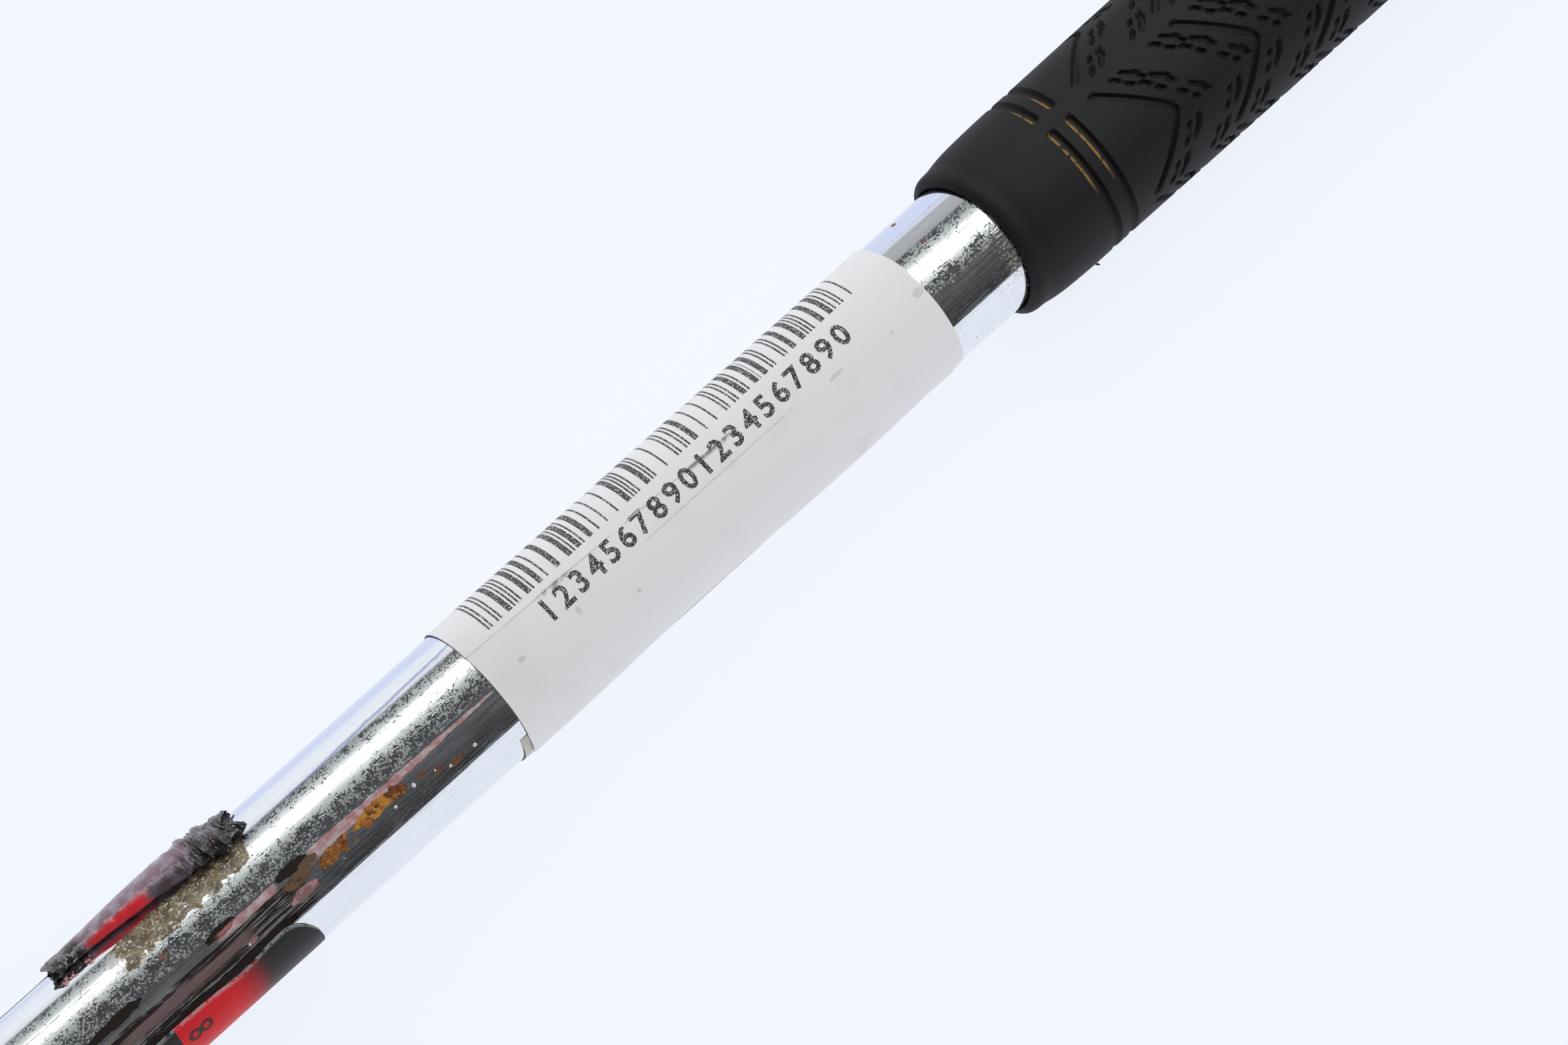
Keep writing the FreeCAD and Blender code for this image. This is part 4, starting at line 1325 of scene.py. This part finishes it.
@dataclass
class StockLabel:
    """The white paper label wrapped round the tube, the layer under it and its row of digits."""

    columns: int = 230
    rows: int = 118
    turns: Span = (-95.0, 119.0)
    under_turns: Span = (-117.5, -70.0)
    under_peek: float = 1.6
    thickness: float = 0.11
    corner: float = 2.2
    fold_slope: float = 0.0265
    fold_across: float = 2.03
    text: str = "12345678901234567890"
    text_along: Span = (301.5, 373.7)
    text_turns: Span = (-5.6, 2.0)
    text_height: float = 4.2
    text_lean: float = 0.021
    text_depth: float = 0.03
    boldness: float = 0.026
    digit_width: float = 2.8
    full_width: float = 0.52

    def __post_init__(self) -> None:
        """Takes the label's size and place from the frame."""
        low, high = box_mm("inventory_label")
        self.start, self.end, self.radius = low.x, high.x, high.z
        self.tube_radius = box_mm("handle_tube")[1].z

    def build(self) -> list[bpy.types.Object]:
        """Wraps the layers and prints the digits.

        Returns:
            The label, the layer under it and the digits.
        """
        return [self._label(), self._under_layer(), self._digits()]

    def _surface(self, x: np.ndarray, angle: np.ndarray) -> np.ndarray:
        """The radius of the label's outer face, which lifts a little along its loose edge."""
        across = angle * math.radians(1.0) * self.radius
        soft = ripple(x, across, 11, length=30.0) * 0.035
        lifted = eased(angle, self.turns[0] + 26.0, self.turns[0])
        belly = 0.30 + 0.22 * np.sin((x - self.start) / (self.end - self.start) * math.tau * 1.5 + 0.9)
        fold = (x - self.start) * self.fold_slope + across - self.fold_across
        crease = 0.07 * np.exp(-((fold / 0.35) ** 2)) * eased(x - self.start, 62.0, 52.0)
        return self.radius - 0.04 + soft * (1.0 - lifted) + lifted * belly + crease

    def _label(self) -> bpy.types.Object:
        """The white label itself."""
        label, along, across = sheet_grid("stock_label", self.columns, self.rows)
        x = self.start + along * (self.end - self.start)
        angle = self.turns[0] + across * (self.turns[1] - self.turns[0])
        end_side = np.clip((x - (self.end - self.corner)) / self.corner, 0.0, 1.0)
        cut = (1.0 - np.sqrt(1.0 - end_side**2)) * self.corner * 4.4
        angle += cut * np.clip(1.0 - (angle - self.turns[0]) / 40.0, 0.0, 1.0)
        x -= 0.9 * eased(angle, 5.0, 65.0) * along
        x += ripple(angle * 0.2, angle * 0.0, 5, length=25.0) * 0.05 * (1.0 - 2.0 * along)
        put_places(label, round_the_bar(x, angle, self._surface(x, angle)))
        thickened(label, self.thickness)
        paint(label, LabelPaper(start=self.start))
        return seat(label, Body.HANDLE, Slot.LABEL, "inventory_label")

    def _under_layer(self) -> bpy.types.Object:
        """The old yellowed strip that shows along the loose edge."""
        strip, along, across = sheet_grid("old_label_strip", 150, 40)
        x = self.start - self.under_peek + along * (self.end - self.start - 0.6)
        low = self.under_turns[0] + 3.0 * ripple(x, x * 0.0, 23, length=60.0)
        angle = low + across * (self.under_turns[1] - low)
        lift = eased(angle, self.turns[0] + 20.0, self.turns[0]) * 0.24
        radius = self.tube_radius + 0.13 + lift * (0.7 + 0.3 * ripple(x, angle * 0.2, 29, length=22.0))
        put_places(strip, round_the_bar(x, angle, radius))
        thickened(strip, self.thickness)
        paint(strip, UnderPaper())
        return seat(strip, Body.HANDLE, Slot.LABEL, "old_label_layer")

    def _digits(self) -> bpy.types.Object:
        """The printed row of plain digits, evenly spaced and wrapped round the label."""
        printed = [self._digit(number, digit) for number, digit in enumerate(self.text)]
        pick(*printed)
        bpy.ops.object.join()
        row = named("label_digits")
        paint(row, LabelInk())
        return seat(row, Body.HANDLE, Slot.LABEL)

    def _digit(self, number: int, digit: str) -> bpy.types.Object:
        """One digit, cut into narrow strips so that it can follow the round of the label.

        Args:
            number: Its place in the row, from 0.
            digit: What is printed.

        Returns:
            The digit as a thin solid on the label.
        """
        bpy.ops.object.select_all(action="DESELECT")
        bpy.ops.object.text_add()
        letter = bpy.context.view_layer.objects.active
        letter.data.body = digit
        letter.data.size = 1.0
        letter.data.offset = self.boldness
        letter.data.extrude = 0.004
        letter.data.resolution_u = 3
        bpy.ops.object.convert(target="MESH")
        letter = named(f"label_digit_{number}")
        flat = places(letter)
        low, high = flat.min(axis=0), flat.max(axis=0)
        pick(letter)
        bpy.ops.object.mode_set(mode="EDIT")
        for share in np.linspace(0.125, 0.875, 7):
            bpy.ops.mesh.select_all(action="SELECT")
            height = low[1] + share * (high[1] - low[1])
            bpy.ops.mesh.bisect(plane_co=(0.0, float(height), 0.0), plane_no=(0.0, 1.0, 0.0))
        bpy.ops.object.mode_set(mode="OBJECT")
        flat = places(letter)
        width = min(self.digit_width, self.digit_width * (high[0] - low[0]) / self.full_width)
        side = ((flat[:, 0] - low[0]) / (high[0] - low[0]) - 0.5) * width
        up = (flat[:, 1] - low[1]) / (high[1] - low[1]) - 0.5
        deep = (flat[:, 2] > 0.0) * self.text_depth - 0.01
        first, last = self.text_along
        pitch = (last - first) / len(self.text)
        x = first + (number + 0.5) * pitch + side
        share_along = (x - first) / (last - first)
        middle = self.text_turns[0] + share_along * (self.text_turns[1] - self.text_turns[0])
        angle = middle + up * self.text_height / (math.radians(1.0) * self.radius)
        x = x + up * self.text_height * self.text_lean
        put_places(letter, round_the_bar(x, angle, self._surface(x, angle) + deep))
        return letter


@dataclass
class TornDecal:
    """What is left of the old decal: the film under the bar, its loose end in a roll, glue and rust."""

    columns: int = 200
    rows: int = 120
    film_turns: Span = (-285.0, -51.0)
    film_gap: float = 0.03
    film_thickness: float = 0.09
    tear: float = 5.6
    roll_stations: tuple[float, ...] = (7.5, 19.5, 31.5)
    roll_halves: tuple[float, ...] = (2.7, 2.6, 3.8, 4.7, 3.8)
    roll_rises: tuple[float, ...] = (1.2, 1.35, 1.75, 1.9, 1.4)
    roll_turns: tuple[float, ...] = (50.5, 49.5, 45.0, 39.0, 36.5)
    roll_coils: float = 1.45
    roll_heading: float = 1.556
    roll_thickness: float = 0.11
    beads: tuple[Span, ...] = (
        (267.5, -35.0), (271.8, -37.5), (274.3, -43.0), (279.6, -43.5), (230.6, -41.5), (263.0, -38.0),
    )

    def __post_init__(self) -> None:
        """Takes the film's and the roll's places from the frame."""
        low, high = box_mm("decal_film")
        self.start, self.end = low.x, high.x
        low, high = box_mm("decal_roll")
        self.roll_start, self.roll_end = low.x, high.x
        self.tube_radius = box_mm("handle_tube")[1].z
        self.reach = Vector(CAD_BOX[1]).y / MM

    def build(self) -> list[bpy.types.Object]:
        """Lays the film, rolls its end and scatters what stuck to the tube.

        Returns:
            The film, the roll, the glue crumbs, the rust scale and the clear beads.
        """
        return [self._film(), self._roll(), *self._lumps()]

    def _film(self) -> bpy.types.Object:
        """The film that still lies on the tube."""
        film, along, across = sheet_grid("decal_film_torn", self.columns, self.rows)
        x = self.start + along * (self.end - self.start)
        corner = np.clip((x - (self.end - self.tear)) / self.tear, 0.0, 1.0)
        free = self.film_turns[1] - 40.0 * (1.0 - np.sqrt(1.0 - corner**2))
        notch = np.exp(-(((x - self.end + 14.8) / 4.0) ** 2))
        free = free - 3.0 * notch + 0.7 * ripple(x, x * 0.0, 41, length=30.0)
        far = self.film_turns[0] - 15.0 * eased(x, self.roll_start - 1.5, self.roll_start + 2.5)
        angle = far + across * (free - far)
        edge = eased(across, 0.97, 1.0)
        radius = self.tube_radius + self.film_gap + self.film_thickness + edge * 0.05
        radius = radius + 0.012 * ripple(x, angle * 0.22, 43, length=12.0)
        put_places(film, round_the_bar(x, angle, radius))
        rim = film.data.attributes.new("rim", "FLOAT", "POINT")
        rim.data.foreach_set("value", eased(across, 0.984, 0.994).astype(np.float32))
        thickened(film, self.film_thickness)
        paint(film, DecalFilmVinyl())
        return seat(film, Body.HANDLE, Slot.DECAL, "decal_film")

    def _roll(self) -> bpy.types.Object:
        """The loose end of the film, curled up on itself into a flattened cone with a crumpled mouth."""
        roll, along, across = sheet_grid("decal_roll_curled", 200, 104)
        x = self.roll_start + along * (self.roll_end - self.roll_start)
        between = (self.roll_start + offset for offset in self.roll_stations)
        station = (self.roll_start, *between, self.roll_end)
        half_side = np.interp(x, station, self.roll_halves)
        half_up = np.interp(x, station, self.roll_rises)
        middle = np.interp(x, station, self.roll_turns)
        near_end = eased(x, self.roll_start + 5.5, self.roll_start + 1.0)
        crumpled = np.maximum(near_end, eased(x, self.roll_end - 13.5, self.roll_end - 7.0))
        coil = across * self.roll_coils * math.tau
        tight = 1.0 - 0.42 * eased(across, 0.30, 0.0) - 0.09 * (1.0 - across)
        dent = ripple(x, coil * 1.5, 51, waves=10, length=6.0)
        fine = ripple(x * 1.7, coil * 2.4, 53, waves=10, length=3.6)
        out = tight * (1.0 + dent * (0.022 + 0.16 * crumpled) + fine * (0.010 + 0.13 * crumpled))
        heading = coil + self.roll_heading
        side = out * np.cos(heading) * half_side
        up = out * np.sin(heading) * half_up
        fray = ripple(coil, coil * 0.3, 57, length=2.4)
        x = x + fray * (eased(along, 0.05, 0.0) * 0.5 + eased(along, 0.90, 1.0) * 1.1)
        x = np.clip(x, self.roll_start - 1.2, self.roll_end + 0.8)
        centre_out = self.tube_radius + half_up + 0.12
        radius = np.maximum(centre_out + up, self.tube_radius + 0.08)
        angle = middle + np.degrees(side / centre_out)
        placed = round_the_bar(x, angle, radius)
        limit = (self.reach - 0.12) * MM
        placed[:, 1:] = np.clip(placed[:, 1:], -limit, limit)
        put_places(roll, placed)
        modified(roll, "SOLIDIFY", thickness=self.roll_thickness * MM, offset=0.0, use_even_offset=False)
        smoothed(roll, 40.0)
        paint(roll, DecalRollVinyl())
        return seat(roll, Body.HANDLE, Slot.DECAL, "decal_roll")

    def _lumps(self) -> list[bpy.types.Object]:
        """Glue crumbs, rust scale and clear beads, each kind as one piece."""
        glue = LumpFinish("glue_crumbs_pale", (0.62, 0.58, 0.44), (0.25, 0.17, 0.06))
        rust = LumpFinish("rust_scale_orange", (0.36, 0.13, 0.02), (0.12, 0.035, 0.010), 0.7)
        bead = LumpFinish("clear_beads_pale", (0.80, 0.82, 0.84), (0.55, 0.56, 0.56), 0.15)
        pink = LumpFinish("decal_crumbs_pink", (0.66, 0.33, 0.36), (0.40, 0.12, 0.14), 0.5)
        kinds = (
            ("glue_crumbs", glue, (0.14, 0.40), 71, strewn(71, 80, (213.0, 240.0), (3.0, 27.0))),
            ("rust_scale", rust, (0.22, 0.60), 73, strewn(73, 26, (256.5, 266.0), (-34.0, -24.5))),
            ("rust_flakes", rust, (0.20, 0.50), 75, strewn(75, 18, (247.5, 253.5), (-38.0, -27.5))),
            ("decal_crumbs", pink, (0.18, 0.42), 77, strewn(77, 16, (204.5, 212.0), (31.0, 40.0))),
            ("clear_beads", bead, (0.24, 0.42), 79, self.beads),
        )
        return [self._scattered(*kind) for kind in kinds]

    def _scattered(
        self, name: str, finish: Finish, sizes: Span, seed: int, spots: Sequence[Span]
    ) -> bpy.types.Object:
        """One lump, copied over the tube with its own size and dents each time.

        Args:
            name: The piece's name.
            finish: What the lumps look like.
            sizes: The least and greatest radius of a lump.
            seed: Which sizes and dents are drawn.
            spots: Where each lump sits along and round the bar.

        Returns:
            All of the lumps as one piece.
        """
        draw = np.random.default_rng(seed)
        lumps = []
        for number, (middle_x, middle_angle) in enumerate(spots):
            bpy.ops.object.select_all(action="DESELECT")
            bpy.ops.mesh.primitive_ico_sphere_add(subdivisions=2, radius=1.0)
            lump = named(f"{name}_{number}")
            ball = places(lump)
            size = draw.uniform(*sizes) * np.array([draw.uniform(0.8, 1.5), draw.uniform(0.7, 1.1)])
            waved = ball[:, 1] * 4.0 + ball[:, 2] * 3.0
            dented = 1.0 + 0.22 * ripple(ball[:, 0] * 4.0 + number, waved, seed + number, length=6.0)
            x = middle_x + ball[:, 0] * size[0] * dented
            angle = middle_angle + np.degrees(ball[:, 1] * size[1] * dented / self.tube_radius)
            height = np.maximum(ball[:, 2], -0.2) * size.min() * 0.55 * dented
            put_places(lump, round_the_bar(x, angle, self.tube_radius + height))
            lumps.append(lump)
        pick(*lumps)
        bpy.ops.object.join()
        joined = named(name)
        smoothed(joined, 60.0)
        paint(joined, finish)
        return seat(joined, Body.HANDLE, Slot.DECAL)


@dataclass
class SwingHead:
    """The forked head, the swinging drive and the small parts that hold them, in their own metals."""

    forging: PlatedSteel = PlatedSteel("forged_chrome_satin", (0.72, 0.73, 0.75), 0.20, 620.0, 0.14)
    drive: PlatedSteel = PlatedSteel("drive_chrome_bright", (0.78, 0.79, 0.81), 0.13, 760.0, 0.12)
    hard: PlatedSteel = PlatedSteel("hardened_steel_oiled", (0.46, 0.46, 0.47), 0.26, 900.0, 0.16)
    ball: PlatedSteel = PlatedSteel("ball_steel_polished", (0.70, 0.70, 0.71), 0.08, 1200.0, 0.06)
    spring: PlatedSteel = PlatedSteel("spring_steel_dark", (0.33, 0.33, 0.34), 0.30, 1100.0, 0.12)
    cap: MouldedPlastic = MouldedPlastic("cap_plastic_black")
    plug: MouldedPlastic = MouldedPlastic("plug_plastic_grey", (0.045, 0.045, 0.048), 0.5)
    tape: TapePaper = TapePaper()

    def dress(self) -> list[str]:
        """Gives each node that stays its finish.

        Returns:
            The nodes' names.
        """
        wear = {
            "head_fork": self.forging, "drive_head": self.drive, "pivot_pin": self.hard,
            "side_washers": self.hard, "shank_pins": self.hard, "detent_ball": self.ball,
            "detent_spring": self.spring, "friction_spring": self.spring, "friction_plunger": self.hard,
            "grip_cap": self.cap, "tube_plug": self.plug, "grip_tape": self.tape,
        }
        for node, finish in wear.items():
            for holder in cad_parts[node].material_slots:
                holder.material = finish.material()
        return list(wear)


Place = tuple[float, float, float]


@dataclass(frozen=True)
class Panel:
    """A long soft light between the middles of its two short sides, in metres, facing a place."""

    name: str
    start: Place
    end: Place
    aim: Place
    width: float
    watts: float
    mirrored: bool

    def build(self) -> None:
        """Hangs the light."""
        start, end = Vector(self.start), Vector(self.end)
        middle = (start + end) / 2.0
        along = (end - start).normalized()
        back = (middle - Vector(self.aim)).normalized()
        turned = Matrix((along, back.cross(along), back)).transposed().to_euler()
        bpy.ops.object.light_add(type="AREA", location=middle, rotation=turned)
        lamp = named(self.name)
        lamp.data.shape = "RECTANGLE"
        lamp.data.size = (end - start).length
        lamp.data.size_y = self.width
        lamp.data.energy = self.watts
        lamp.visible_glossy = self.mirrored


@dataclass
class Studio:
    """The pale floor, the sky, the soft lights and the camera."""

    floor_size: float = 7.0
    panels: tuple[Panel, ...] = (
        Panel("strip_light", (0.04, 2.24, 1.5), (1.50, -1.04, 1.5), (0.77, 0.60, 0.0), 0.085, 31.0, True),
        Panel("fill_light", (-0.45, -1.74, 0.47), (1.15, -1.74, 0.47), (0.35, 0.0, 0.0), 0.9, 11.5, False),
        Panel("back_light", (-0.45, 1.74, 0.47), (1.15, 1.74, 0.47), (0.35, 0.0, 0.0), 0.9, 6.5, False),
    )
    sky_half: float = 110.0
    sky_levels: tuple[Span, ...] = (
        (-110.0, 0.30), (-88.0, 0.05), (-76.0, 0.06), (-62.0, 0.08), (-46.0, 0.11), (-30.0, 0.13),
        (-14.0, 0.07), (4.0, 0.06), (22.0, 0.06), (44.0, 0.06), (58.0, 0.07), (64.0, 0.12),
        (68.0, 0.90), (82.0, 1.02), (92.0, 0.95), (110.0, 0.8),
    )
    camera_place: Place = (0.09156, -0.27131, 0.870385)
    camera_aim: Place = (0.2692, 0.2737, -0.9234)
    lens: float = 130.1
    sensor: float = 36.0

    def build(self) -> None:
        """Sets the floor, the sky, the lights and the camera."""
        self._floor()
        self._sky()
        for panel in self.panels:
            panel.build()
        self._camera()

    def _floor(self) -> None:
        """A pale floor just under the bar."""
        bpy.ops.object.select_all(action="DESELECT")
        height = CAD_BOX[0][2] - 0.0002
        bpy.ops.mesh.primitive_plane_add(size=self.floor_size, location=(0.3, 0.0, height))
        floor = named("studio_floor")
        paint(floor, StudioFloor())

    def _sky(self) -> None:
        """A sky whose brightness changes round the bar's own axis."""
        world = bpy.data.worlds.new("studio_sky")
        bpy.context.scene.world = world
        world.use_nodes = True
        recipe = Recipe(world.node_tree)
        way = recipe.node("ShaderNodeTexCoord", output="Generated")
        x, y, z = recipe.split(way, 1.0)
        turn = recipe.turn(y, z)
        turn = turn + (x - 0.188) * 109.0 * turn.rise(0.0, 40.0)
        half, whole = self.sky_half, 2.0 * self.sky_half
        share = (turn + half) / whole
        stops = [
            ((place + half) / whole, (level * 0.96, level * 0.98, level * 1.04))
            for place, level in self.sky_levels
        ]
        ramp = recipe.node("ShaderNodeValToRGB", {"stops": stops}, {0: share})
        shaded = x.rise(0.23, 0.30) * turn.rise(60.0, 70.0) * turn.rise(98.0, 90.0) * 0.52
        tone = recipe.dye(shaded, ramp, (0.02, 0.02, 0.0))
        sky = recipe.node("ShaderNodeBackground", inputs={"Color": tone, "Strength": 1.0})
        output = world.node_tree.nodes.new("ShaderNodeOutputWorld")
        world.node_tree.links.new(sky.socket, output.inputs["Surface"])

    def _camera(self) -> None:
        """The camera, with a long lens."""
        bpy.ops.object.camera_add(location=self.camera_place)
        camera = named("studio_camera")
        camera.rotation_euler = Vector(self.camera_aim).to_track_quat("-Z", "Y").to_euler()
        camera.data.lens = self.lens
        camera.data.sensor_width = self.sensor
        camera.data.clip_end = 50.0
        bpy.context.scene.camera = camera
        bpy.context.scene.view_settings.view_transform = "Standard"


def main() -> None:
    logging.basicConfig(level=logging.INFO, format="%(name)s: %(message)s")
    Studio().build()
    log.info("studio set")
    tube = TubeHandle().build()
    log.info("%s: %d faces", tube.name, len(tube.data.polygons))
    for assembly in (RubberGrip(), StockLabel(), TornDecal()):
        for piece in assembly.build():
            log.info("%s: %d faces", piece.name, len(piece.data.polygons))
    for node in SwingHead().dress():
        log.info("%s: dressed", node)


if __name__ == "__main__":
    main()
